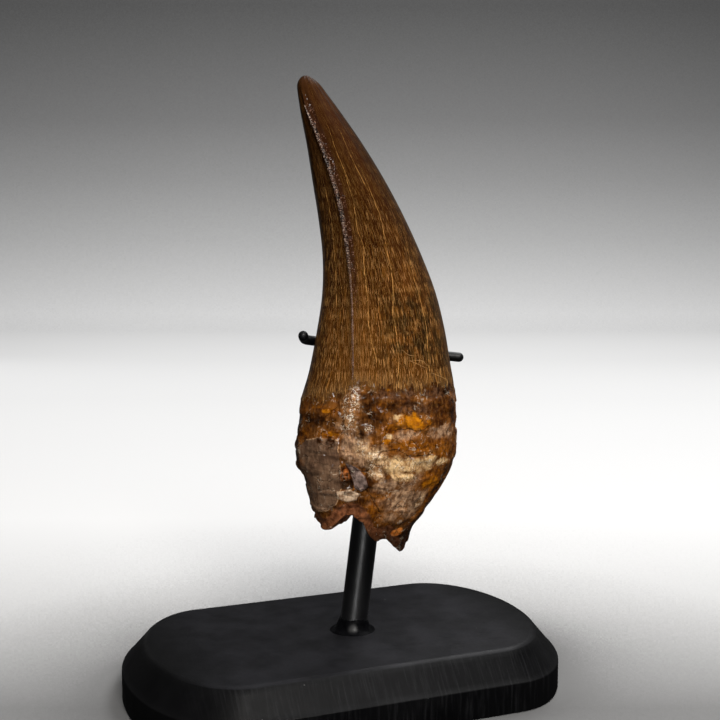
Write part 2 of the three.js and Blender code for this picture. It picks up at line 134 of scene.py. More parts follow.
# stains and scars of the root: angle, height, half width in degrees, half height
STAINS = {
    "rust": [(-142, 32.2, 9, 0.7), (-99, 27.8, 7, 1.5), (-104, 32.6, 5, 1.5), (-72, 24.2, 35, 1.3),
             (-50, 22.3, 12, 1.5), (-141, 27.3, 11, 0.8), (-60, 16.2, 16, 2.2), (-106, 9.5, 12, 3.6),
             (-112, 24.6, 5, 2), (-48, 13, 10, 4), (-88, 5.6, 9, 1.7), (-85, 17, 5, 0.7),
             (-160, 33, 10, 0.5), (-175, 27.5, 12, 1.2)],
    "amber": [(-60, 15.6, 9, 1.5), (-84, 29.5, 8, 1.6), (-75, 28.6, 7, 1.2), (-140, 27.4, 5, 0.4),
              (-99, 36.4, 2, 0.3), (-146, 32.2, 4, 0.4), (-100, 25.6, 3, 0.5)],
    "cream": [(-104, 21.8, 6, 1.2), (-94, 20.4, 9, 1.9), (-78, 20.2, 15, 1.5), (-52, 20, 9, 0.7),
              (-91, 30.4, 4, 0.7), (-98, 26.6, 2.5, 0.6), (-86, 17.6, 7, 0.8), (-66, 21, 6, 0.7),
              (-110, 22.6, 3, 0.8)],
    "crumb": [(-125, 38.5, 2, 3), (-125, 36.2, 4, 2.4), (-126, 33.4, 6, 2.8), (-127, 29.8, 6.5, 2.5),
              (-112, 28.4, 3, 1)],
    "chalk": [(-117, 24.4, 5, 1.6), (-108, 23, 7, 1.6), (-106, 21.2, 7, 1.2), (-106, 18.8, 4.5, 1.2),
              (-59, 11.6, 5, 1.4)],
    "mauve": [(-86, 26.7, 9, 1), (-52, 26.1, 14, 1.7), (-121, 23.6, 9, 3.3), (-83, 12.6, 14, 4),
              (-78, 16.6, 10, 1.4), (-131, 29.2, 7, 0.7), (-150, 25.4, 14, 1), (-126, 25.4, 6, 3.4),
              (-104, 12, 7, 1.1), (-98, 16, 9, 1.6), (-62, 11.8, 13, 3.2)],
    "umber": [(-80, 32.3, 14, 1.5), (-92, 35.2, 22, 0.9), (-58, 35, 14, 1)],
    "dark": [(-158, 30.4, 28, 1.4), (176, 29, 12, 2.5), (-43, 35.6, 8, 1.8), (-129, 18.6, 4.5, 2.6),
             (-38, 31.5, 7, 2.6), (-98, 32.8, 7, 0.9), (-44, 15.5, 5, 4), (176, 22, 6, 4),
             (-112, 18.5, 3, 3), (-60, 4.5, 14, 1), (-112, 28.6, 6, 1.3), (-114, 34, 8, 2),
             (-108, 30.8, 6, 1.4), (-118, 28, 4, 2.4), (-141, 25.6, 3.5, 1.4), (-150, 26.2, 3, 0.9)],
}
DOT = (-66.5, 5, 8, 1.05)      # round rust spot, given like the stains
# corners of the smooth plate left of the pit, the open slab right of it, the pale strip below it and
# the pit itself: angle, height
PLATE = [(-178, 24), (-168, 26), (-150, 26.8), (-134, 26.2), (-133, 16), (-139, 12), (-150, 10.6),
         (-168, 10.2), (-179, 13)]
SLAB = [(-130.5, 21.5), (-120.5, 20.2), (-115, 18.2), (-112.5, 16.2), (-117.5, 15), (-123, 15.7),
        (-125.5, 18.2)]
STRIP = [(-138, 15.2), (-126, 15.5), (-118, 14.4), (-121, 13), (-130, 12.7), (-137.5, 13.4)]
PIT = [(-134, 20), (-129.5, 20.7), (-125, 17.6), (-123.8, 15.5), (-134, 15.4)]
# pale healed cracks of the enamel: points as angle, height
GOLD_CRACKS = [
    [(-109, 82), (-111, 76), (-116, 70), (-114, 67), (-118, 62), (-118, 55), (-116, 48), (-110, 43)],
    [(-79, 81), (-81, 73), (-87, 67), (-90, 60), (-95, 53), (-93, 48), (-92, 40)],
    [(-58, 66), (-64, 60), (-63, 54), (-62, 49), (-64, 43), (-64, 37)],
    [(-150, 79), (-151, 72), (-155, 65), (-155, 60), (-153, 54)],
    [(-105, 92), (-109, 88), (-108, 84), (-107, 80)],
    [(-82, 91), (-86, 86), (-84, 80)],
]
# pale scratches across the lower crown: points as angle, height
SCRATCHES = [[(-82, 42.2), (-74, 41.3), (-68, 40.6)], [(-78, 42.3), (-70, 42), (-66, 41)],
             [(-61, 39.3), (-52, 38.5), (-43, 37.7)], [(-88, 44.5), (-84, 43.6), (-79, 43.2)]]
# fine dark joints of the root: points as angle, height
DARK_JOINTS = [
    [(-168, 28.4), (-150, 28.6), (-138, 30), (-124, 31)],
    [(-138, 15), (-126, 15), (-114, 15.4), (-106, 12.5), (-97, 10)],
    [(-134, 26), (-129, 24), (-127, 21), (-112, 19.6), (-104, 23.4)],
    [(-104, 23.4), (-92, 23.6), (-84, 22.2), (-64, 22)],
    [(-94, 27.8), (-84, 28), (-76, 27.2), (-66, 28.4)],
    [(-70, 17), (-62, 13), (-66, 9), (-72, 6)],
]

MM_PER_DEGREE = 0.29           # way round the tooth's front
GIRTH = 90                     # length given to the whole way round, for the streaks' widths
COLUMNS = 236                  # quads round the tooth
ROW = 0.3                      # quad height over the root and crown
WELD = 1e-6                    # vertices this near are one, in metres


# ---------------------------------------------------------------- curves and noise

def through(pairs, at):
    """Smooth curve through (position, value) pairs, held level past its ends."""
    place, value = np.array(pairs, float).T
    at = np.clip(at, place[0], place[-1])
    slope = np.empty_like(value)
    slope[1:-1] = (value[2:] - value[:-2]) / (place[2:] - place[:-2])
    slope[0] = (value[1] - value[0]) / (place[1] - place[0])
    slope[-1] = (value[-1] - value[-2]) / (place[-1] - place[-2])
    i = np.clip(np.searchsorted(place, at) - 1, 0, len(place) - 2)
    width = place[i + 1] - place[i]
    t = (at - place[i]) / width
    ahead = t * t * (3 - 2 * t)
    return (value[i] * (1 - ahead) + value[i + 1] * ahead
            + width * ((t**3 - 2 * t * t + t) * slope[i] + (t**3 - t * t) * slope[i + 1]))


def round_section(pairs, angle):
    """The same for pairs that go once round the section."""
    turn = (angle - pairs[0][0]) % 360 + pairs[0][0]
    before = [(a - 360, v) for a, v in pairs[-2:]]
    after = [(a + 360, v) for a, v in pairs[:2]]
    return through(before + pairs + after, turn)


def between(a, b):
    """Turn from angle b to angle a, -180 to 180."""
    return (a - b + 180) % 360 - 180


def smooth_step(low, high, value):
    t = np.clip((value - low) / (high - low), 0, 1)
    return t * t * (3 - 2 * t)


def ripple(points, size, seed, waves=28):
    """Smooth random field over points, about -2 to 2, with lumps of that size."""
    rng = np.random.default_rng(seed)
    way = rng.normal(size=(3, waves))
    way /= np.linalg.norm(way, axis=0)
    pace = math.pi / size * rng.uniform(0.6, 1.5, waves)
    return np.sin(points @ (way * pace) + rng.uniform(0, 2 * math.pi, waves)).sum(1) / math.sqrt(waves / 2)


def inside(corners, angle, height):
    """Distance in millimetres from the edge of a patch of the front, positive inside it."""
    middle = np.mean([a for a, _ in corners])
    x = between(angle, middle) * MM_PER_DEGREE
    nearest = np.full(len(angle), 1e9)
    crossings = np.zeros(len(angle), bool)
    for (a0, y0), (a1, y1) in zip(corners, corners[1:] + corners[:1]):
        x0 = (a0 - middle) * MM_PER_DEGREE
        x1 = (a1 - middle) * MM_PER_DEGREE
        side = (x1 - x0)**2 + (y1 - y0)**2
        t = np.clip(((x - x0) * (x1 - x0) + (height - y0) * (y1 - y0)) / side, 0, 1)
        nearest = np.minimum(nearest, np.hypot(x - x0 - t * (x1 - x0), height - y0 - t * (y1 - y0)))
        spans = (y0 > height) != (y1 > height)
        reach = x0 + (x1 - x0) * (height - y0) / ((y1 - y0) or 1e-9)
        crossings ^= spans & (x < reach)
    return np.where(crossings, nearest, -nearest)


def stain_field(spots, angle, height):
    """Above 0 inside any of the oval spots, in units of half their size."""
    field = np.full(len(angle), -9.0)
    for at, level, wide, tall in spots:
        field = np.maximum(field, 1 - np.hypot(between(angle, at) / wide, (height - level) / tall))
    return field


def back_spots(seed, count):
    """Stains for the sides that are turned away: oval spots like those of the front."""
    rng = np.random.default_rng(seed)
    return [(rng.uniform(-30, 170), rng.uniform(12, 36), rng.uniform(5, 16), rng.uniform(0.8, 2.6))
            for _ in range(count)]


def beside(path, angle, height, runs_up):
    """Signed distance in millimetres from a crack that runs up the tooth, or round it."""
    angles = [a for a, _ in path]
    heights = [h for _, h in path]
    if runs_up:
        pairs = sorted(zip(heights, angles))
        away = between(angle, through(pairs, height)) * MM_PER_DEGREE
        past = np.maximum(np.maximum(min(heights) - height, height - max(heights)), 0)
        return away + np.sign(away) * past * 0.6
    away = height - through(sorted(zip(angles, heights)), angle)
    past = np.maximum(np.maximum(min(angles) - angle, angle - max(angles)), 0) * MM_PER_DEGREE
    return away + np.sign(away) * past


# ---------------------------------------------------------------- the tooth's surface

def section_at(h):
    """Half width, half thickness and middle of the tooth's section at a height."""
    t = np.minimum((TOOTH_LENGTH - h) / TIP_ROUNDING, 1)
    rounding = np.sqrt(np.clip(1 - (1 - t)**2, 0, 1))
    inner = through([(at, low) for at, low, _ in SECTIONS], h)
    outer = through([(at, high) for at, _, high in SECTIONS], h)
    half = (outer - inner) / 2 * rounding
    up = (h - CERVIX) / (TOOTH_LENGTH - CERVIX)
    down = (CERVIX - h) / CERVIX
    sway = np.where(h > CERVIX, CROWN_SWAY * up * up, ROOT_SWAY * down * down)
    return half, half * FLATNESS, (inner + outer) / 2, sway


def crest_at(crest, from_crest, h):
    """Rise of a keel at an angle from its top, with a shallow trough on either side of it."""
    low, high, height = crest
    length = smooth_step(low - 3, low + 3, h) * (1 - smooth_step(high, high + 5, h))
    trough = 0.12 * np.exp(-(((np.abs(from_crest) - 12) / 6)**2))
    return length * (height * np.exp(-((from_crest / 3)**2)) - trough)


def rough_points(angle, h):
    """Rough positions on the surface, for the noise fields."""
    turn = np.radians(angle)
    return np.stack([17.5 * np.cos(turn), 12 * np.sin(turn), h], 1)


def enamel_side(angle, h):
    """Height above the enamel's ragged edge."""
    at = rough_points(angle, 0 * h)
    ragged = 0.35 * ripple(at, 2.2, 3) + 0.22 * ripple(at, 0.8, 4)
    return h - round_section(ENAMEL_EDGE, angle) - ragged


def scars(angle, h, at):
    """Rise of the plate, the slab and the strip round the pit, and depth of the pit and the joints."""
    wander = 0.3 * ripple(at, 1.6, 13)
    rise = 0.3 * smooth_step(-0.15, 0.15, inside(PLATE, angle, h) + wander * 0.6)
    rise -= 0.95 * smooth_step(-0.1, 0.35, inside(PIT, angle, h) + wander * 0.4)
    slab = inside(SLAB, angle, h) + wander * 0.2
    rise += smooth_step(-0.1, 0.12, slab) * (0.45 + 0.06 * between(angle, -119))
    rise += 0.2 * smooth_step(-0.1, 0.15, inside(STRIP, angle, h) + wander * 0.4)
    for path in DARK_JOINTS:
        gap = np.abs(beside(path, angle, h, False) + 0.25 * ripple(at, 1.2, 17))
        rise -= 0.22 * np.exp(-((gap / 0.28)**2))
    return rise


def crust(angle, h, at):
    """Lumps, ledges and crumbs of the root's skin."""
    lumps = 0.1 * ripple(at, 5, 21) + 0.05 * ripple(at, 2.2, 22)
    ledges = 0.16 * np.tanh(6 * (ripple(at * [1, 1, 1.7], 4.2, 23) - 0.5))
    crumbs = np.exp(-((between(angle, -125) / 6)**2))
    crumbs *= smooth_step(21, 25, h) * (1 - smooth_step(36, 39, h))
    crumbs += 0.7 * np.clip(stain_field(STAINS["cream"], angle, h) + 0.4, 0, 1) + 0.25
    fine = crumbs * (0.09 * ripple(at, 1.1, 24) + 0.08 * np.abs(ripple(at, 0.7, 25)))
    return (1 - smooth_step(33, 37.5, h)) * (lumps + ledges + fine)


def root_relief(angle, h):
    """The broken, flaked and pitted skin of the root."""
    at = rough_points(angle, h)
    rise = ENAMEL_STEP * smooth_step(-0.25, 0.25, enamel_side(angle, h))
    for where, level, wide, tall, lift in ROOT_RELIEF:
        spread = (between(angle, where) / wide)**2 + ((h - level) / tall)**2
        rise += lift * np.maximum(1 - spread**2, 0)
    flaked = RIM_BEVEL[0] + 0.5 * ripple(at, 4, 11) + 0.25 * ripple(at, 1.4, 12)
    above_rim = h - round_section(RIM, angle)
    rise -= RIM_BEVEL[1] * (1 - smooth_step(flaked - 1.2, flaked + 0.2, above_rim))
    return rise + scars(angle, h, at) + crust(angle, h, at)


def surface_points(angle, h):
    """Points of the tooth's skin, in its own frame."""
    half, thick, x, y = section_at(h)
    turn = np.radians(angle)
    normal = np.stack([np.cos(turn) * FLATNESS, np.sin(turn)])
    normal /= np.linalg.norm(normal, axis=0)
    rise = root_relief(angle, h)
    rise += crest_at(FRONT_CREST, between(angle, through(FRONT_CARINA, h)), h)
    rise += crest_at(BACK_CREST, between(angle, through(BACK_CARINA, h)), h)
    # shallow flutes that run up the crown
    crown = smooth_step(38, 46, h)
    rise += crown * 0.05 * ripple(rough_points(angle, 0.04 * h), 3.2, 31)
    rise = rise * np.minimum(half / 3, 1)
    return np.stack([x + half * np.cos(turn) + rise * normal[0],
                     y + thick * np.sin(turn) + rise * normal[1], h], 1)


def ragged_rim(angle):
    """Height of the broken rim."""
    at = rough_points(angle, 0 * angle)
    return round_section(RIM, angle) + 0.09 * ripple(at, 2, 41) + 0.05 * ripple(at, 0.7, 42)


def wall_points(angle, t):
    """Wall of the pulp hollow: t is 0 at the broken rim and 1 at its roof."""
    low = np.maximum(ragged_rim(angle) + BREAK_SLOPE, PULP_LOWEST)
    h = low + (PULP_TOP - low) * t
    _, _, x, y = section_at(h)
    closing = np.sqrt(np.clip(1 - t**1.6, 0, 1))
    turn = np.radians(angle)
    lumps = 1 + 0.03 * ripple(rough_points(angle, h), 3.5, 43) * np.clip(4 * closing, 0, 1)
    return np.stack([x + PULP_SIZE[0] / 2 * closing * lumps * np.cos(turn),
                     y + PULP_SIZE[1] / 2 * closing * lumps * np.sin(turn), h], 1)


# from the frame of the leaning stand, the tooth and the post, +Z along it, to the shared one
LEANING = Matrix.Translation((*POST_FOOT, PLINTH_TOP)) @ Matrix.Rotation(-LEAN_BACK, 4, "X")
TOOTH_FRAME = LEANING @ Matrix.Translation((0, -TOOTH_DISTANCE, TOOTH_RAISE))
POST_FRAME = LEANING @ Matrix.Rotation(LEAN_RIGHT, 4, "Y")


# ---------------------------------------------------------------- meshes

def as_object(name, bm, material):
    """Welds a mesh, turns its faces outward and makes it an object."""
    bmesh.ops.remove_doubles(bm, verts=bm.verts, dist=WELD)
    bmesh.ops.recalc_face_normals(bm, faces=bm.faces)
    mesh = bpy.data.meshes.new(name)
    bm.to_mesh(mesh)
    bm.free()
    mesh.materials.append(material)
    mesh.shade_smooth()
    piece = bpy.data.objects.new(name, mesh)
    bpy.context.scene.collection.objects.link(piece)
    return piece


def finished(name, bm, material, nodes=(), smooth_angle=180):
    """Makes a mesh a piece of the part, smooth up to an angle, in place of the nodes that it replaces."""
    piece = as_object(name, bm, material)
    if smooth_angle < 180:
        piece.data.set_sharp_from_angle(angle=math.radians(smooth_angle))
    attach(piece, "root")
    if nodes:
        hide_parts(*nodes)
    return piece


def shaped_grid(columns, rows, shape):
    """Mesh of a grid whose points are moved by shape(u, v, mesh), u round and v along it, both 0 to 1."""
    bm = bmesh.new()
    bm.loops.layers.uv.new("UVMap")
    bmesh.ops.create_grid(bm, x_segments=columns, y_segments=rows, size=0.5, calc_uvs=True)
    mesh = bpy.data.meshes.new("shaped_grid")
    bm.to_mesh(mesh)
    bm.free()
    flat = np.empty(len(mesh.vertices) * 3)
    mesh.vertices.foreach_get("co", flat)
    u, v = flat.reshape(-1, 3).T[:2] + 0.5
    mesh.vertices.foreach_set("co", (shape(u, v, mesh) * MM).ravel())
    bm = bmesh.new()
    bm.from_mesh(mesh)
    bpy.data.meshes.remove(mesh)
    return bm


def keep_field(mesh, name, values):
    mesh.attributes.new(name, "FLOAT", "POINT").data.foreach_set("value", values.astype(np.float32))


def unit(rows):
    """Rows of vectors, each made one long."""
    return rows / np.linalg.norm(rows, axis=1)[:, None]


def moved(points, matrix):
    """Rows of points, turned and moved by a matrix."""
    turn = np.array(matrix.to_3x3())
    return points @ turn.T + np.array(matrix.translation)


def column_angles(u, h):
    """Columns follow both crests, and lie close beside them and on the front."""
    front = through(FRONT_CARINA, h)
    back = through(BACK_CARINA, h)
    share = 0.58                                   # part of the columns, front crest to back crest
    first = u < share
    t = np.where(first, u / share, (u - share) / (1 - share))
    eased = t - 0.11 * np.sin(2 * math.pi * t)     # closer at both crests
    return np.where(first, front + (back - front) * eased, back + (front + 360 - back) * eased)


def tooth_rows():
    """Row stations: (kind, value), from the hollow's roof over the broken face to the tip."""
    rows = [("wall", 1 - (i / 26)**2) for i in range(26)]
    rows += [("break", i / 7) for i in range(7)]
    heights = list(np.arange(0, TOOTH_LENGTH - 6, ROW))
    rows += [("skin", h) for h in heights]
    left = TOOTH_LENGTH - heights[-1]
    rows += [("skin", TOOTH_LENGTH - left * (1 - math.sin(math.pi / 2 * i / 34))) for i in range(1, 35)]
    return rows


def tooth_shape(u, v, mesh):
    """The tooth's skin, broken face and hollow, row by row."""
    rows = tooth_rows()
    index = np.rint(v * (len(rows) - 1)).astype(int)
    kinds = np.array([kind for kind, _ in rows])[index]
    value = np.array([value for _, value in rows])[index]
    nominal = np.where(kinds == "skin", value, 0)
    angle = column_angles(u, nominal)
    rim = ragged_rim(angle)
    h = np.where(nominal < LEVEL_FROM, rim + (LEVEL_FROM - rim) * nominal / LEVEL_FROM, nominal)
    points = surface_points(angle, h)
    wall = wall_points(angle, np.where(kinds == "wall", value, 0))
    share = np.where(kinds == "wall", 1, np.where(kinds == "break", 1 - value, 0))[:, None]
    broken = share * wall + (1 - share) * points
    crumble = 0.18 * ripple(broken, 1.5, 51) + 0.1 * ripple(broken, 0.7, 52)
    broken[:, 2] += crumble * (kinds == "break") * np.sin(math.pi * share[:, 0])
    points = np.where((kinds == "skin")[:, None], points, broken)
    h = np.where(kinds == "skin", h, points[:, 2])
    keep_tooth_fields(mesh, angle, h, kinds == "skin")
    return moved(points, TOOTH_FRAME)


def keep_tooth_fields(mesh, angle, h, skin):
    """What the material needs to know at each place of the surface."""
    keep_field(mesh, "enamel", np.where(skin, enamel_side(angle, h), -20))
    keep_field(mesh, "height", h)
    keep_field(mesh, "keel", between(angle, through(FRONT_CARINA, h)) * section_at(h)[0] * math.radians(0.9))
    keep_field(mesh, "rim", np.where(skin, h - round_section(RIM, angle), -1))
    for k, (name, spots) in enumerate(STAINS.items()):
        field = stain_field(spots + back_spots(60 + k, 12), angle, h)
        keep_field(mesh, name, np.where(skin, field, -1))
    for name, corners in (("plate", PLATE), ("slab", SLAB), ("strip", STRIP), ("pit", PIT)):
        keep_field(mesh, name, inside(corners, angle, h))
    keep_field(mesh, "dot", stain_field([DOT], angle, h))
    for name, paths in (("gold", GOLD_CRACKS), ("scratch", SCRATCHES), ("joint", DARK_JOINTS)):
        for k, path in enumerate(paths):
            keep_field(mesh, f"{name}{k}", beside(path, angle, h, name == "gold"))


def make_tooth(material):
    bm = shaped_grid(COLUMNS, len(tooth_rows()) - 1, tooth_shape)
    # the map's second number becomes the height, its first the way round, both in metres
    heights = bm.verts.layers.float["height"]
    around = bm.loops.layers.uv["UVMap"]
    for face in bm.faces:
        for loop in face.loops:
            loop[around].uv = (loop[around].uv.x * GIRTH * MM, loop.vert[heights] * MM)
    return finished("fossil_tooth", bm, material, ["tooth"])


def make_serration(name, crest, carina, material):
    """Row of small chisel-shaped denticles along a crest, sunk into its top."""
    low, high, _ = crest
    steps = 8                                      # rows in one denticle
    sides = 12
    count = round((high - low) / DENTICLE_PITCH)

    def shape(u, v, mesh):
        h = low + (high - low) * v
        end = np.clip(np.minimum(v, 1 - v) * 14, 0, 1)
        tooth = 0.42 + 0.58 * np.clip(np.sin(math.pi * ((v * count) % 1)) * 1.25, 0, 1)**0.6
        wear = 0.75 + 0.25 * np.clip(1 + 0.8 * ripple(np.stack([h, h, h], 1), 2.2, 71), 0, 1)
        tall = 0.34 * tooth * wear * end + 0.02
        wide = (0.2 + 0.38 * smooth_step(58, 72, h)) * (0.8 + 0.2 * tooth) * (0.3 + 0.7 * end)
        keep_field(mesh, "height", h)
        angle = through(carina, h)
        middle = surface_points(angle, h)
        along = unit(surface_points(angle + 3, h) - middle)
        outward = np.stack([along[:, 1], -along[:, 0], 0 * h], 1)
        turn = 2 * math.pi * u
        open_part = (v > 0) & (v < 1)              # the row closes at both ends
        points = (middle - outward * 0.12 + along * (wide * np.sin(turn) * open_part)[:, None]
                  + outward * (tall * np.cos(turn) * open_part)[:, None])
        return moved(points, TOOTH_FRAME)

    return finished(name, shaped_grid(sides, count * steps, shape), material)


def plinth_ring(bm, inset, end_inset, z):
    """Outline with half-elliptical ends, as a ring of vertices."""
    half = PLINTH_LENGTH / 2 - inset
    deep = PLINTH_DEPTH / 2 - inset
    end = PLINTH_END - end_inset
    ring = bmesh.ops.create_circle(bm, cap_ends=False, radius=1, segments=144)["verts"]
    for vert in ring:
        turn = math.atan2(vert.co.y, vert.co.x)
        across = half - end + end * abs(math.cos(turn))
        side = math.copysign(1, math.cos(turn))
        vert.co = Vector((side * across, deep * math.sin(turn), z)) * MM
    return ring


def make_plinth(material):
    bm = bmesh.new()
    profile = [(ARRIS, ARRIS, 0), (0.18, 0.18, 0.18), (0, 0, ARRIS), (0, 0, PLINTH_SIDE - ARRIS)]
    for i in range(1, 5):
        t = i / 5
        profile.append((ARRIS * t * t, ARRIS * 0.5 * t * t, PLINTH_SIDE + ARRIS * (t - 0.6)))
    upper = [(CHAMFER_INSET - 0.7, CHAMFER_END_INSET - 0.5, PLINTH_TOP - 0.55),
             (CHAMFER_INSET - 0.2, CHAMFER_END_INSET - 0.1, PLINTH_TOP - 0.2),
             (CHAMFER_INSET + 0.25, CHAMFER_END_INSET + 0.25, PLINTH_TOP - 0.05),
             (CHAMFER_INSET + 0.8, CHAMFER_END_INSET + 0.8, PLINTH_TOP)]
    low = profile[-1]
    for i in range(1, 6):
        t = i / 6
        profile.append(tuple(a + (b - a) * t for a, b in zip(low, upper[0])))
    profile += upper
    rings = [plinth_ring(bm, *place) for place in profile]
    for below, above in zip(rings, rings[1:]):
        bmesh.ops.bridge_loops(bm, edges=ring_edges(bm, below) + ring_edges(bm, above))
    for ring in (rings[0], rings[-1]):
        bmesh.ops.contextual_create(bm, geom=ring_edges(bm, ring))
    return finished("plinth_block", bm, material, ["plinth"], 24)


def ring_edges(bm, ring):
    held = set(ring)
    return [e for e in {edge for vert in ring for edge in vert.link_edges}
            if e.verts[0] in held and e.verts[1] in held]


def make_post(material):
    """Round rod with a rounded head."""
    head = 0.8
    edge = 0.3
    # radius and height from the foot's middle to the head's middle
    profile = [(0, -POST_SEAT), (POST_RADIUS - edge, -POST_SEAT), (POST_RADIUS, edge - POST_SEAT)]
    span = POST_LENGTH - head + POST_SEAT - edge
    profile += [(POST_RADIUS, edge - POST_SEAT + span * i / 24) for i in range(1, 25)]
    for i in range(1, 9):
        turn = math.pi / 2 * i / 8
        profile.append((POST_RADIUS - head * (1 - math.cos(turn)), POST_LENGTH - head * (1 - math.sin(turn))))
    profile.append((0, POST_LENGTH))
    radius, height = np.array(profile).T

    def shape(u, v, mesh):
        i = np.rint(v * (len(profile) - 1)).astype(int)
        turn = 2 * math.pi * u
        return moved(np.stack([radius[i] * np.cos(turn), radius[i] * np.sin(turn), height[i]], 1), POST_FRAME)

    bm = shaped_grid(64, len(profile) - 1, shape)
    return finished("post_rod", bm, material, ["post"], 40)


def bead_shape(u, v, mesh):
    """Ring by ring up the fillet, from its level foot to its collar square across the post."""
    at = v * (len(BEAD_PROFILE) - 1)
    radius, along, square = (np.interp(at, range(len(BEAD_PROFILE)), part) for part in zip(*BEAD_PROFILE))
    turn = 2 * math.pi * u
    up = np.array([0, 0, 1.0])
    axis = np.array((POST_FRAME.to_3x3() @ Vector((0, 0, 1))).normalized())
    normal = unit(up + square[:, None] * (axis - up))
    across_x = unit(np.cross([0, 1.0, 0], normal))
    across_y = np.cross(normal, across_x)
    ring = np.stack([np.cos(turn), np.sin(turn), 0 * turn], 1) * 4
    lumps = 0.1 * ripple(ring, 4, 81) + 0.03 * ripple(ring, 1.6, 82)
    radius = radius + lumps * np.clip(radius - BEAD_BORE, 0, 1)
    rise = along * (1 + 0.06 * ripple(ring, 4, 83) * (along > 0.1))
    return (np.array(POST_FRAME.translation) + rise[:, None] * axis
            + radius[:, None] * (across_x * np.cos(turn)[:, None] + across_y * np.sin(turn)[:, None]))


def make_bead(material):
    """Uneven fillet round the post's foot."""
    bm = shaped_grid(72, (len(BEAD_PROFILE) - 1) * 3, bead_shape)
    bmesh.ops.remove_doubles(bm, verts=bm.verts, dist=WELD)
    bmesh.ops.bridge_loops(bm, edges=[e for e in bm.edges if e.is_boundary])
    return finished("foot_weld", bm, material, ["foot_bead"], 70)


def rounded_path(points, steps):
    """Points spaced evenly along a smooth line through the given ones, with the line's direction."""
    knots = np.array(points, float)
    lengths = np.concatenate([[0], np.cumsum(np.linalg.norm(np.diff(knots, axis=0), axis=1))])
    at = np.linspace(0, lengths[-1], steps)
    line = np.stack([through(list(zip(lengths, knots[:, k])), at) for k in range(3)], 1)
    way = np.gradient(line, axis=0)
    return line, unit(way)


def make_wire(material):
    """Round wire swept along its bent path, with rounded ends."""
    line, way = rounded_path(CRADLE_PATH, 120)
    dome = np.array([math.pi / 2 * i / 8 for i in range(1, 9)])
    bulge = (WIRE_RADIUS * np.sin(dome))[:, None]
    thin = WIRE_RADIUS * np.cos(dome)
    centre = np.concatenate([(line[0] - way[0] * bulge)[::-1], line, line[-1] + way[-1] * bulge])
    along = np.concatenate([way[[0] * len(dome)], way, way[[-1] * len(dome)]])
    radius = np.concatenate([thin[::-1], np.full(len(line), WIRE_RADIUS), thin])[:, None]
    side = unit(np.cross(along, [0, 0, 1.0]))
    over = np.cross(side, along)

    def shape(u, v, mesh):
        i = np.rint(v * (len(centre) - 1)).astype(int)
        turn = 2 * math.pi * u[:, None]
        return moved(centre[i] + radius[i] * (side[i] * np.cos(turn) + over[i] * np.sin(turn)), LEANING)

    bm = shaped_grid(32, len(centre) - 1, shape)
    return finished("cradle_rod", bm, material, ["cradle_wire"], 60)


def make_braze(material):
    """Lump of braze that holds the wire to the front of the post's head."""
    bm = bmesh.new()
    bmesh.ops.create_icosphere(bm, subdivisions=4, radius=1)
    points = np.array([v.co for v in bm.verts])
    lumps = 1 + 0.05 * ripple(points, 0.5, 91)
    for vert, lump in zip(bm.verts, lumps):
        vert.co = Vector((vert.co.x * 3, vert.co.y * 1.8, vert.co.z * 2)) * lump
    bmesh.ops.translate(bm, vec=(0, -POST_RADIUS - 0.5, WIRE_HEIGHT), verts=bm.verts)
    bmesh.ops.transform(bm, matrix=Matrix.Scale(MM, 4) @ POST_FRAME, verts=bm.verts)
    return finished("braze_lump", bm, material)


# ---------------------------------------------------------------- materials

# settings that most nodes of a kind share
USUAL = {
    "MapRange": {"interpolation_type": "SMOOTHSTEP"},
    "Math": {"operation": "MULTIPLY"},
    "Mix": {"data_type": "RGBA"},
}


def linear(code):
    """sRGB hex to linear RGBA."""
    parts = [int(code[i:i + 2], 16) / 255 for i in (0, 2, 4)]
    return [p / 12.92 if p <= 0.04045 else ((p + 0.055) / 1.055)**2.4 for p in parts] + [1]


def add(tree, kind, inputs=(), out=None, **settings):
    """Adds a node with its settings, sets or links its inputs, in order or by name, and gives its output."""
    node = tree.nodes.new("ShaderNode" + kind)
    for name, value in {**USUAL.get(kind, {}), **settings}.items():
        setattr(node, name, value)
    if isinstance(inputs, dict):
        pairs = [(node.inputs[name], value) for name, value in inputs.items()]
    else:
        pairs = zip([socket for socket in node.inputs if socket.enabled], inputs)
    for socket, value in pairs:
        if isinstance(value, bpy.types.NodeSocket):
            tree.links.new(value, socket)
        else:
            socket.default_value = linear(value) if isinstance(value, str) else value
    if out:
        return node.outputs[out]
    return next((socket for socket in node.outputs if socket.enabled), None)


def new_material(name):
    """An empty material, its node tree and the place on the object."""
    material = bpy.data.materials.new(name)
    material.use_nodes = True
    tree = material.node_tree
    tree.nodes.clear()
    return material, tree, add(tree, "TexCoord", out="Object")


def grain(tree, where, size, detail=3, rough=0.55, shift=(0, 0, 0)):
    """Noise with lumps of that size in millimetres: one size, or one along each axis."""
    sizes = size if isinstance(size, tuple) else (size, size, size)
    scale = [1 / (s * MM) for s in sizes]
    scaled = add(tree, "Mapping", {"Vector": where, "Location": shift, "Scale": scale})
    return add(tree, "TexNoise", {"Vector": scaled, "Scale": 1, "Detail": detail, "Roughness": rough})


def blots(tree, where, size, low, high, bottom=0, top=1, **how):
    """Noise turned into soft-edged blots: bottom where it is under low, top where it is over high."""
    return add(tree, "MapRange", [grain(tree, where, size, **how), low, high, bottom, top])


def mingled(tree, under, over, share, low, high):
    """Soft-edged blots from a mixture of two noises."""
    return add(tree, "MapRange", [add(tree, "Mix", [share, under, over], data_type="FLOAT"), low, high])


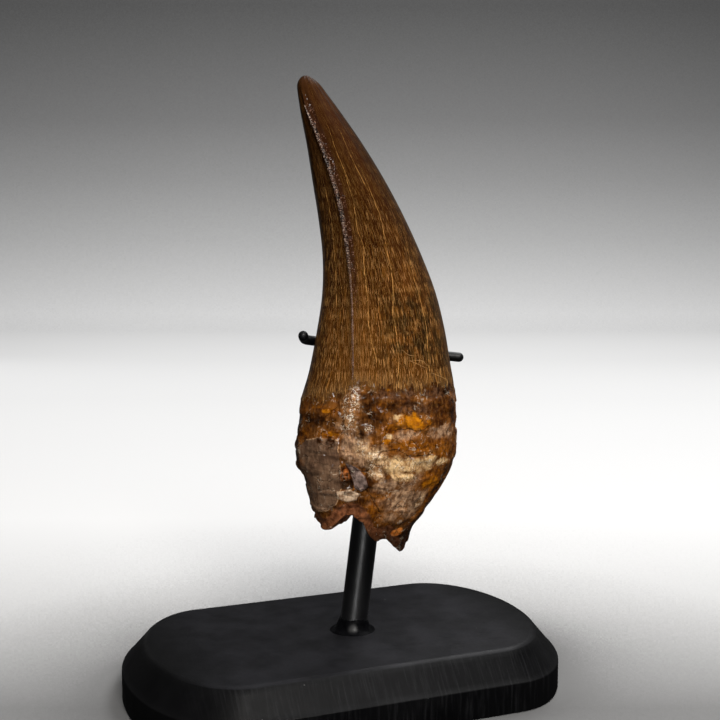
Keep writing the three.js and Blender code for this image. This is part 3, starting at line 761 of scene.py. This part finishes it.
def zone(tree, name, low, high, bottom=0, top=1, ragged=0, by=1):
    """Share of a layer, from a field that the mesh keeps, its soft edge made ragged by noise."""
    kept = add(tree, "Attribute", out="Fac", attribute_name=name)
    kept = add(tree, "Math", [ragged, by, kept], operation="MULTIPLY_ADD")
    return add(tree, "MapRange", [kept, low, high, bottom, top])


def coats(tree, colour, *layers):
    """Lays each layer's colour over what is under it, by the product of the layer's shares."""
    for over, share, *others in layers:
        for other in others:
            share = add(tree, "Math", [share, other])
        colour = add(tree, "Mix", [share, colour, over])
    return colour


def patch(tree, colour, dark, light, mottle, *shares):
    """Mottled patch of stone laid over the colour."""
    return coats(tree, colour, (add(tree, "Mix", [mottle, dark, light]), *shares))


def crack_lines(tree, where, name, paths, width, wobble):
    """Thin wavering lines along paths, from the distances to them that the mesh keeps."""
    bend = add(tree, "Math", [grain(tree, where, 1.6), wobble, -wobble / 2], operation="MULTIPLY_ADD")
    lines = 0.0
    for k in range(len(paths)):
        away = add(tree, "Attribute", out="Fac", attribute_name=f"{name}{k}")
        away = add(tree, "Math", [away, bend], operation="ADD")
        away = add(tree, "Math", [away], operation="ABSOLUTE")
        line = add(tree, "MapRange", [away, width, width * 0.3])
        lines = add(tree, "Math", [line, lines], operation="MAXIMUM")
    return lines


# width and length in millimetres, shift of the noise, colour and share of each set of the enamel's
# streaks; they are 0.1 mm wide in the real enamel, the finest drawn 0.2 mm wide so that they show
STREAKS = [
    (1.3, 26, 13, "4e2c0a", 0.35), (0.14, 3, 1, "120701", 0.55), (0.4, 7, 5, "683c14", 0.3),
    (0.12, 2.6, 9, "d8a260", 0.64), (0.15, 4.5, 17, "a06a2c", 0.55), (0.22, 11, 23, "7a4a1a", 0.3),
]


def enamel_colour(tree, around):
    """Polished brown enamel, streaked lengthwise with pale mineral."""
    edge_shade = add(tree, "LayerWeight", {"Blend": 0.5}, "Facing")
    # smoky manganese clouds in the middle
    smoke = [zone(tree, "height", 39, 45), zone(tree, "height", 61, 52), zone(tree, "keel", 4, 10, 0.2, 1),
             blots(tree, around, (2.4, 4, 1), 0.44, 0.56, 0, 0.85, detail=6, rough=0.7)]
    colour = coats(
        tree, "210d03",
        ("48260b", blots(tree, around, (6, 18, 1), 0.34, 0.66, detail=5, rough=0.6)),
        # thinner, paler enamel towards the root, a darker upper half and a redder tip
        ("553414", zone(tree, "height", 60, 37, 0, 0.5)),
        ("200c02", zone(tree, "height", 57, 75, 0, 0.75)),
        ("37190b", zone(tree, "height", 82, 98, 0, 0.6)),
        # painted shade: darker at the edges turned away from the view, where the light falls off
        ("140702", add(tree, "MapRange", [edge_shade, 0.2, 0.74, 0, 0.95])),
        # painted shade: the facet behind the front crest darkens towards the tip; a strip ahead is darker too
        ("180a04", zone(tree, "keel", 0, -0.4), zone(tree, "height", 38, 70, 0.05, 0.88)),
        ("1f0e04", zone(tree, "keel", 6.5, 2), zone(tree, "height", 46, 64, 0, 0.5)),
        ("846640", zone(tree, "enamel", 3.5, 0.2, 0, 0.3)),
        ("1f170a", *smoke))
    sway = add(tree, "Math", [grain(tree, around, (2, 6, 1)), 1.2 * MM, -0.6 * MM], operation="MULTIPLY_ADD")
    sideways = add(tree, "CombineXYZ", [sway])
    along = add(tree, "VectorMath", [around, sideways], operation="ADD")
    fading = zone(tree, "height", 92, 44, 0.2, 1)
    for width, length, shift, shade, share in STREAKS:
        lines = blots(tree, along, (width, length, 1), 0.56, 0.61, rough=0.65, shift=(shift, shift * 1.7, 0))
        colour = coats(tree, colour, (shade, lines, fading, share))
    return coats(tree, colour, ("1c1408", *smoke, 0.6))


def crown_colour(tree, place, around, on_band):
    """The enamel with its healed cracks and scratches, and the grainy band beside the front crest."""
    gold = crack_lines(tree, around, "gold", GOLD_CRACKS, 0.11, 0.7)
    scratch = crack_lines(tree, around, "scratch", SCRATCHES, 0.08, 0.25)
    cells = add(tree, "TexVoronoi", {"Vector": place, "Scale": 1 / (0.42 * MM)})
    band = [zone(tree, "keel", -0.2, 0.25), zone(tree, "keel", 1.5, 1.05), zone(tree, "height", 52, 60),
            zone(tree, "height", 99, 96)]
    return coats(
        tree, enamel_colour(tree, around),
        ("dca457", gold, blots(tree, around, 1.6, 0.4, 0.6, 0.12, 1, detail=5, rough=0.7), 0.9),
        ("b8905c", scratch, 0.65),
        ("38200f", on_band),
        ("241009", *band, 0.7),
        ("8c6856", *band, add(tree, "MapRange", [cells, 0.36, 0.2]),
         blots(tree, place, 1.4, 0.4, 0.56, 0.15, 0.85)))


# stain, its dark and light colours and the softness of its edge, from the undermost
STAIN_COLOURS = [
    ("mauve", "7c5c44", "cea47e", 0.5), ("rust", "52280a", "9a5a14", 0.6), ("umber", "2e1a10", "6c4a32", 0.5),
    ("dark", "140702", "3a1e0a", 0.6), ("cream", "bc9260", "ecc690", 0.4), ("chalk", "7a5636", "e2ba8c", 0.7),
    ("crumb", "522e16", "ac7a4a", 0.7), ("amber", "8a4a08", "ca7e12", 0.3),
]


def bare_patches(tree, colour, noise):
    """The smooth plate with its pale fringe, the open slab and the strip."""
    plate = {"ragged": noise.edge, "by": 0.25}
    colour = patch(tree, colour, "5a4232", "866850", mingled(tree, noise.broad, noise.fibres, 0.4, 0.4, 0.6),
                   zone(tree, "plate", -0.15, 0.2, **plate))
    colour = coats(tree, colour, (
        "cfa478", zone(tree, "plate", -0.06, 0.06, 0, 0.8, **plate), zone(tree, "plate", 0.26, 0.14, **plate),
        add(tree, "MapRange", [noise.fine, 0.46, 0.56])))
    colour = patch(tree, colour, "5e4e48", "a48c80", noise.mottle,
                   zone(tree, "slab", -0.08, 0.14, ragged=noise.edge, by=0.14))
    return patch(tree, colour, "a27c5c", "f2d2b0", noise.mottle,
                 zone(tree, "strip", -0.1, 0.2, ragged=noise.edge, by=0.35))


def breaks(tree, colour, noise):
    """The pit, dark below and rusty above, the red-brown broken rim, and shade at the root's two ends."""
    hollow = add(tree, "Mix", [zone(tree, "height", 17, 18.4), "3a2413", "c07036"])
    colour = patch(tree, colour, "1c0f08", hollow, noise.mottle, zone(tree, "pit", -0.1, 0.25))
    colour = patch(tree, colour, "502c1a", "9c6240", add(tree, "MapRange", [noise.fine, 0.3, 0.68]),
                   zone(tree, "rim", 3.4, 2.6, 0, 0.9, ragged=noise.edge, by=0.8))
    colour = coats(tree, colour, ("180c06", zone(tree, "height", 9.5, 3, 0, 0.85)))
    colour = patch(tree, colour, "b86426", "e08c40", noise.mottle, zone(tree, "dot", -0.1, 0.25))
    return coats(tree, colour, ("1c0d05", zone(tree, "enamel", -1.8, -0.3, 0, 0.4)))


def crevices(tree, colour, place, noise):
    """Level growth lines, and crevices filled with dark matrix."""
    warp = add(tree, "TexNoise", {"Vector": place, "Scale": 1 / (1.2 * MM), "Detail": 4}, "Color")
    bent = add(tree, "Mix", [0.0014, place, warp], data_type="VECTOR")
    cells = add(tree, "TexVoronoi", {"Vector": bent, "Scale": 1 / (3.2 * MM)}, feature="DISTANCE_TO_EDGE")
    return coats(
        tree, colour,
        ("1e0d04", blots(tree, place, (5, 5, 0.35), 0.54, 0.7, 0, 0.3, detail=4, rough=0.6)),
        ("170a04", add(tree, "MapRange", [cells, 0.035, 0.01, 0, 0.7]),
         add(tree, "MapRange", [noise.broad, 0.44, 0.54])),
        ("180b05", crack_lines(tree, place, "joint", DARK_JOINTS, 0.16, 0.9), 0.75))


def pits_and_glints(tree, colour, place, noise):
    """Small pits, and painted glints as thin bright rings round lumps, thickest where the root is crumbly."""
    crumbly = add(tree, "Math", [zone(tree, "crumb", -0.4, 0.4), zone(tree, "chalk", -0.4, 0.4)],
                  operation="MAXIMUM")
    crumbly = add(tree, "Math", [crumbly, zone(tree, "cream", -0.1, 0.7)], operation="MAXIMUM")
    pitted = add(tree, "Math", [crumbly, 0.2], operation="MAXIMUM")
    pits = blots(tree, place, 0.9, 0.55, 0.63, 0, 0.5, rough=0.6, shift=(7, 1, 1))
    colour = coats(tree, colour, ("3a1e0a", pits, pitted))
    thin = add(tree, "MapRange", [noise.broad, 0.5, 0.6, 0.02, 0.4])
    # painted highlights: thin bright rings round noise lumps, in place of glints off crystal edges
    for size, shift, crowd in ((0.7, 3, crumbly), (1.4, 11, thin)):
        lumps = grain(tree, place, (size, size, 0.8 * size), 2, 0.5, (shift, 2, 1))
        colour = coats(tree, colour, (
            "fff0d4", add(tree, "MapRange", [lumps, 0.455, 0.485]),
            add(tree, "MapRange", [lumps, 0.545, 0.515]),
            blots(tree, place, 1.3, 0.47, 0.56, rough=0.6, shift=(shift, 5, 9)), crowd, 0.68))
    return colour


def root_colour(tree, place, around):
    """Dentine and cement stained by iron and manganese, with bare pale and slaty patches."""
    noise = SimpleNamespace(
        broad=grain(tree, place, 3.2, 5, 0.6), fine=grain(tree, place, 1.1, 4, 0.6),
        fibres=grain(tree, around, (0.45, 2.4, 1), 4, 0.6),
        edge=add(tree, "Math", [grain(tree, place, 2, 5, 0.65), 3, -1.5], operation="MULTIPLY_ADD"))
    noise.mottle = mingled(tree, noise.fine, noise.fibres, 0.35, 0.38, 0.62)
    colour = coats(tree, "3a1c08",
                   ("845020", add(tree, "MapRange", [noise.broad, 0.36, 0.62])),
                   ("9c6a36", add(tree, "MapRange", [noise.fibres, 0.5, 0.66, 0, 0.45])))
    cloudy = add(tree, "MapRange", [noise.fine, 0.3, 0.66])
    worn = blots(tree, place, 1.6, 0.36, 0.5, 0.3, 1, detail=5, rough=0.65, shift=(9, 2, 5))
    for name, dark, light, soft in STAIN_COLOURS:
        colour = patch(tree, colour, dark, light, cloudy if name == "amber" else noise.mottle,
                       zone(tree, name, -soft, soft, ragged=noise.edge), worn)
        if name == "mauve":
            colour = bare_patches(tree, colour, noise)
    colour = breaks(tree, colour, noise)
    colour = crevices(tree, colour, place, noise)
    return pits_and_glints(tree, colour, place, noise)


def fossil_relief(tree, place, around, is_enamel):
    """Streaks of the enamel and grit of the root, a few hundredths of a millimetre deep."""
    striae = add(tree, "Math", [grain(tree, around, (0.3, 4, 1), 3, 0.6),
                                grain(tree, around, (0.8, 14, 1), 2, 0.5, (3, 3, 0))], operation="ADD")
    striae = add(tree, "Math", [striae, 0.05 * MM])
    grit = add(tree, "Math", [grain(tree, around, (0.45, 2, 1), 3, 0.5), 0.5,
                              grain(tree, place, 1.4, 4, 0.6)], operation="MULTIPLY_ADD")
    grit = add(tree, "Math", [grit, 0.2 * MM])
    relief = add(tree, "Mix", [is_enamel, grit, striae], data_type="FLOAT")
    return add(tree, "Bump", {"Strength": 1, "Distance": 1, "Height": relief})


def fossil_gloss(tree, place, is_enamel, on_band):
    """Resin-bright spots on the broken skin of the root and on the grainy band beside the crest."""
    spots = add(tree, "Math", [zone(tree, "crumb", -0.6, 0.3), 0.16,
                               grain(tree, place, 1.3, 3, 0.6, (4, 4, 4))], operation="MULTIPLY_ADD")
    spots = add(tree, "MapRange", [spots, 0.56, 0.63])
    on_root = add(tree, "Math", [1, is_enamel], operation="SUBTRACT")
    glassy = add(tree, "Math", [on_band, on_root], operation="MAXIMUM")
    return add(tree, "Math", [spots, glassy])


def fossil_material():
    """Fossil tooth, polished: satin brown enamel above, waxy stained dentine with glints below."""
    material, tree, place = new_material("mineralised enamel and dentine, hand polished")
    around = add(tree, "UVMap", uv_map="UVMap")
    ragged = add(tree, "Math", [grain(tree, around, (0.4, 2.4, 1), 3, 0.6), 1.6,
                                grain(tree, place, 1.1, 6, 0.75)], operation="MULTIPLY_ADD")
    is_enamel = zone(tree, "enamel", 6.15, 6.85, ragged=ragged, by=5)
    on_band = add(tree, "Math", [zone(tree, "keel", 0.1, 0.4), zone(tree, "keel", 1.6, 0.95)])
    on_band = add(tree, "Math", [on_band, zone(tree, "height", 56, 72, 0, 0.65)])
    crown = crown_colour(tree, place, around, on_band)
    matt = blots(tree, place, 0.9, 0.34, 0.66, 0.12, 0.6, detail=5, rough=0.7)
    satin = blots(tree, around, (0.5, 8, 1), 0.3, 0.7, 0.42, 0.56)
    facets = grain(tree, place, 1.2, 1.5, shift=(1, 7, 2))
    shader = add(tree, "BsdfPrincipled", {
        "Base Color": coats(tree, root_colour(tree, place, around), (crown, is_enamel)),
        "Roughness": add(tree, "Mix", [is_enamel, matt, satin], data_type="FLOAT"),
        "IOR": 1.55, "Specular IOR Level": 0.12, "Specular Tint": "b4702e",
        "Coat Weight": fossil_gloss(tree, place, is_enamel, on_band), "Coat Roughness": 0.12,
        "Normal": fossil_relief(tree, place, around, is_enamel),
        "Coat Normal": add(tree, "Bump", {"Strength": 1, "Distance": 0.8 * MM, "Height": facets})})
    add(tree, "OutputMaterial", [shader])
    return material


def denticle_material():
    """Worn enamel of the serrations, glassy and a little paler, with painted highlights on each denticle."""
    material, tree, place = new_material("worn enamel of the serrations")
    colour = coats(
        tree, "1a0e08",
        ("4a3022", blots(tree, place, 1.4, 0.4, 0.62, detail=4, rough=0.6)),
        # painted light: towards the root, where the serrations lie in shade, they are painted to a pale line
        ("86644a", zone(tree, "height", 70, 58, 0, 0.4)),
        # pale chips, partly worn tips and partly painted highlights
        ("ccac94", blots(tree, place, 0.32, 0.54, 0.64, 0, 0.55, detail=2),
         zone(tree, "height", 48, 72, 0.75, 1)))
    shader = add(tree, "BsdfPrincipled", {
        "Base Color": colour, "Roughness": blots(tree, place, 0.6, 0.35, 0.65, 0.16, 0.34),
        "IOR": 1.6, "Specular IOR Level": 0.15, "Coat Weight": 0.25, "Coat Roughness": 0.12,
        "Normal": add(tree, "Bump", {"Strength": 0.6, "Distance": 0.04 * MM,
                                     "Height": grain(tree, place, 0.3)})})
    add(tree, "OutputMaterial", [shader])
    return material


def lacquer_material():
    """Black lacquer on wood: satin, with faint sanding streaks up the chamfer and a few dust specks."""
    material, tree, place = new_material("satin black lacquer on wood")
    height = add(tree, "SeparateXYZ", [place], "Z")
    reach = add(tree, "Math", [add(tree, "SeparateXYZ", [place], "X")], operation="ABSOLUTE")
    on_side = add(tree, "MapRange", [height, (PLINTH_TOP - 0.25) * MM, (PLINTH_TOP - 0.6) * MM])
    ends = add(tree, "MapRange", [reach, 30 * MM, 45 * MM])
    middle = add(tree, "MapRange", [reach, 45 * MM, 30 * MM])
    # brush and sanding marks 0.25 mm apart, drawn 0.5 mm apart so that they show
    on_front = add(tree, "Math", [on_side, middle])
    streaks = add(tree, "Math", [blots(tree, place, (0.5, 9, 9), 0.45, 0.75, detail=4, rough=0.6), on_front])
    specks = add(tree, "TexVoronoi", {"Vector": place, "Scale": 1 / (5.5 * MM)})
    # painted light and shade: the level top is painted a lighter grey than the upright sides and rounded ends
    bare = add(tree, "Math", [on_side, ends], operation="MAXIMUM")
    colour = coats(
        tree, add(tree, "Mix", [bare, "1b1b1d", "060607"]),
        (add(tree, "Mix", [bare, "252528", "0b0b0c"]),
         blots(tree, place, 9, 0.3, 0.7, detail=4, rough=0.5)),
        ("343436", streaks, 0.26),
        ("8c8c8c", add(tree, "MapRange", [specks, 0.03, 0.018]),
         blots(tree, place, 8, 0.5, 0.55, detail=1), 0.6))
    satin = blots(tree, place, 3, 0.3, 0.7, 0.34, 0.44, detail=5, rough=0.6)
    satin = add(tree, "Math", [ends, 0.2, satin], operation="MULTIPLY_ADD")
    peel = add(tree, "Math", [grain(tree, place, 0.8, 3, 0.5), streaks], operation="ADD")
    shader = add(tree, "BsdfPrincipled", {
        "Base Color": colour,
        "Roughness": add(tree, "Math", [streaks, 0.04, satin], operation="MULTIPLY_ADD"),
        "IOR": 1.5, "Specular IOR Level": 0.08,
        "Normal": add(tree, "Bump", {"Strength": 0.5, "Distance": 0.02 * MM, "Height": peel})})
    add(tree, "OutputMaterial", [shader])
    return material


def painted_steel(name, low, high, lumps, gloss, shine, rubbed=None):
    """Deep black paint on steel, soft highlights broken by brush marks, glossy all over or where rubbed."""
    material, tree, place = new_material(name)
    if rubbed:
        away = add(tree, "VectorMath", [place, Vector(rubbed) * MM], operation="DISTANCE")
        gloss = add(tree, "MapRange", [away, 1.6 * MM, 0.5 * MM, 0, gloss])
    marks = add(tree, "Math", [grain(tree, place, lumps, 3, 0.5), grain(tree, place, (0.5, 0.5, 4), 3, 0.6)],
                operation="ADD")
    shader = add(tree, "BsdfPrincipled", {
        "Base Color": coats(tree, "040405",
                            ("0a0a0c", blots(tree, place, 2.2, 0.35, 0.65, detail=4, rough=0.6))),
        "Roughness": blots(tree, place, (1.2, 1.2, 5), 0.3, 0.7, low, high, detail=4, rough=0.6),
        "IOR": 1.5, "Specular IOR Level": shine, "Coat Weight": gloss, "Coat Roughness": 0.44,
        "Normal": add(tree, "Bump", {"Strength": 0.5, "Distance": 0.03 * MM, "Height": marks})})
    add(tree, "OutputMaterial", [shader])
    return material


# ---------------------------------------------------------------- studio

# way along the paper from under the object's far side, in metres, and the paper's painted shade there
PAPER_SHADES = [
    (-0.016, 0.24), (0.001, 0.35), (0.028, 0.5), (0.061, 0.62), (0.102, 0.7), (0.154, 0.76), (0.221, 0.72),
    (0.313, 0.67), (0.447, 0.61), (0.657, 0.56), (1.03, 0.57), (1.435, 0.37), (1.75, 0.25), (2.05, 0.165),
    (2.575, 0.086),
]


def sweep_material():
    """Matt paper sweep: white behind the object, shaded to grey in front of it and high above it."""
    material, tree, place = new_material("matt background paper")
    right, away, up = (add(tree, "SeparateXYZ", [place], axis) for axis in "XYZ")
    way = add(tree, "Math", [up, 3, away], operation="MULTIPLY_ADD")
    start = PAPER_SHADES[0][0]
    end = PAPER_SHADES[-1][0]
    shade = add(tree, "ValToRGB", [add(tree, "MapRange", [way, start, end], interpolation_type="LINEAR")])
    stops = shade.node.color_ramp.elements
    for at, level in PAPER_SHADES[1:-1]:
        stops.new((at - start) / (end - start)).color = (level, level, level, 1)
    stops[0].color = [PAPER_SHADES[0][1]] * 3 + [1]
    stops[len(stops) - 1].color = [PAPER_SHADES[-1][1]] * 3 + [1]
    # painted shadow round the plinth, thinner on its right
    shadow = add(tree, "AmbientOcclusion", {"Distance": 0.12}, "AO", samples=8)
    thinner = add(tree, "MapRange", [right, -0.06, 0.08, -0.01, 0.02])
    shadow = add(tree, "Math", [shadow, thinner], operation="ADD")
    depth = add(tree, "MapRange", [way, -0.02, 0.04, 0.66, 0.27])
    lit = add(tree, "MapRange", [shadow, 0.86, 1, depth, 1])
    # painted shade: the paper's right is a little darker, as the light comes from the left of its middle
    painted_right_shade = add(tree, "MapRange", [right, -0.2, 0.5, 1, 0.88], interpolation_type="LINEAR")
    paper = coats(tree, shade, ("fafafa", blots(tree, place, 2, 0.3, 0.7, 0, 0.012, detail=4)))
    paper = coats(tree, "000000", (paper, painted_right_shade, lit))
    # the paper also glows faintly in its own colour: painted light
    shader = add(tree, "BsdfPrincipled", {
        "Base Color": paper, "Emission Color": paper, "Emission Strength": 0.1, "Roughness": 0.9,
        "Specular IOR Level": 0.1})
    add(tree, "OutputMaterial", [shader])
    return material


def make_sweep():
    """Floor that curves up into a backdrop behind the object, as seen from the camera."""
    bend = 0.5
    depth = 0.9
    half = 2.2
    steps = 24
    bm = bmesh.new()
    profile = [(-1.2, 0), (depth, 0)]
    for i in range(1, steps + 1):
        turn = math.pi / 2 * i / steps
        profile.append((depth + bend * math.sin(turn), bend * (1 - math.cos(turn))))
    profile.append((depth + bend, 2.2))
    verts = [bm.verts.new((-half, y, z)) for y, z in profile]
    edges = [bm.edges.new(pair) for pair in zip(verts, verts[1:])]
    wide = bmesh.ops.extrude_edge_only(bm, edges=edges)["geom"]
    far = [part for part in wide if isinstance(part, bmesh.types.BMVert)]
    bmesh.ops.translate(bm, vec=(2 * half, 0, 0), verts=far)
    sweep = as_object("sweep", bm, sweep_material())
    sweep.rotation_euler.z = CAMERA_TURN
    sweep.visible_diffuse = False
    sweep.visible_glossy = False


CAMERA_PLACE = Vector((-95.99, -255.55, 108.16)) * MM
CAMERA_TURN = math.radians(-21.470)
CAMERA_PITCH = math.radians(6.633)
CAMERA_LENS = 60
SENSOR = 36

MIDDLE = (0, 0, 0.08)
# soft boxes: name, place, target, size in metres, watts, colour; x is right, y away and z up in the view
LIGHTS = [
    ("key box", (0.1, -0.5, 0.5), MIDDLE, (0.24, 0.24), 3.9, "fffbf6"),
    ("low box", (-0.03, -0.45, 0.035), (0, 0, 0.05), (0.1, 0.05), 0.38, "ffffff"),
    ("right box", (0.55, -0.4, 0.4), MIDDLE, (0.3, 0.3), 0.12, "ffffff"),
    ("back card", (0.4, 0.8, 0.4), MIDDLE, (0.6, 0.3), 0.06, "ffffff"),
    ("left rim", (-0.34, 0.6, 0.22), MIDDLE, (0.1, 0.4), 0.1, "ffffff"),
    ("right rim", (0.4, 0.5, 0.22), MIDDLE, (0.1, 0.4), 0.08, "ffffff"),
    ("floor wash", (0.35, 0.3, 0.85), (0, 0.25, 0), (1.6, 0.3), 7.6, "ffffff"),
    ("backdrop wash", (0, 0.35, 0.8), (0, 1.4, 0.12), (2, 0.2), 12, "ffffff"),
]


def make_camera():
    data = bpy.data.cameras.new("camera")
    data.lens = CAMERA_LENS
    data.sensor_width = SENSOR
    data.clip_start = 0.01
    camera = bpy.data.objects.new("camera", data)
    camera.location = CAMERA_PLACE
    camera.rotation_euler = Euler((math.pi / 2 - CAMERA_PITCH, 0, CAMERA_TURN))
    bpy.context.scene.collection.objects.link(camera)
    bpy.context.scene.camera = camera


def make_light(name, place, target, size, watts, shade):
    data = bpy.data.lights.new(name, "AREA")
    data.shape = "RECTANGLE"
    data.size, data.size_y = size
    data.energy = watts
    data.color = linear(shade)[:3]
    light = bpy.data.objects.new(name, data)
    turn = Matrix.Rotation(CAMERA_TURN, 4, "Z")
    light.location = turn @ Vector(place)
    light.rotation_euler = (turn @ Vector(target) - light.location).to_track_quat("-Z", "Y").to_euler()
    bpy.context.scene.collection.objects.link(light)


def make_studio():
    for row in LIGHTS:
        make_light(*row)
    world = bpy.data.worlds.new("studio")
    world.use_nodes = True
    world.node_tree.nodes["Background"].inputs[0].default_value = linear("f4f4f6")
    world.node_tree.nodes["Background"].inputs[1].default_value = 0.03
    bpy.context.scene.world = world
    bpy.context.scene.view_settings.view_transform = "Standard"


# ---------------------------------------------------------------- assembly

make_camera()
make_studio()
make_sweep()
lacquer = lacquer_material()
steel = painted_steel("black paint on a drawn steel rod", 0.3, 0.42, 1.2, 0.85, 0.2)
foot_paint = painted_steel("black paint over the foot's braze", 0.36, 0.48, 0.8, 0.8, 0.02, RUBBED)
braze = painted_steel("black paint over braze", 0.36, 0.48, 0.8, 0.12, 0.02)
wire_paint = painted_steel("black paint on drawn steel wire", 0.34, 0.48, 0.8, 0.35, 0.12)
fossil = fossil_material()
worn = denticle_material()
make_plinth(lacquer)
make_post(steel)
make_bead(foot_paint)
make_wire(wire_paint)
make_braze(braze)
make_tooth(fossil)
make_serration("front_serration", FRONT_CREST, FRONT_CARINA, worn)
make_serration("back_serration", BACK_CREST, BACK_CARINA, worn)

bpy.context.view_layer.update()
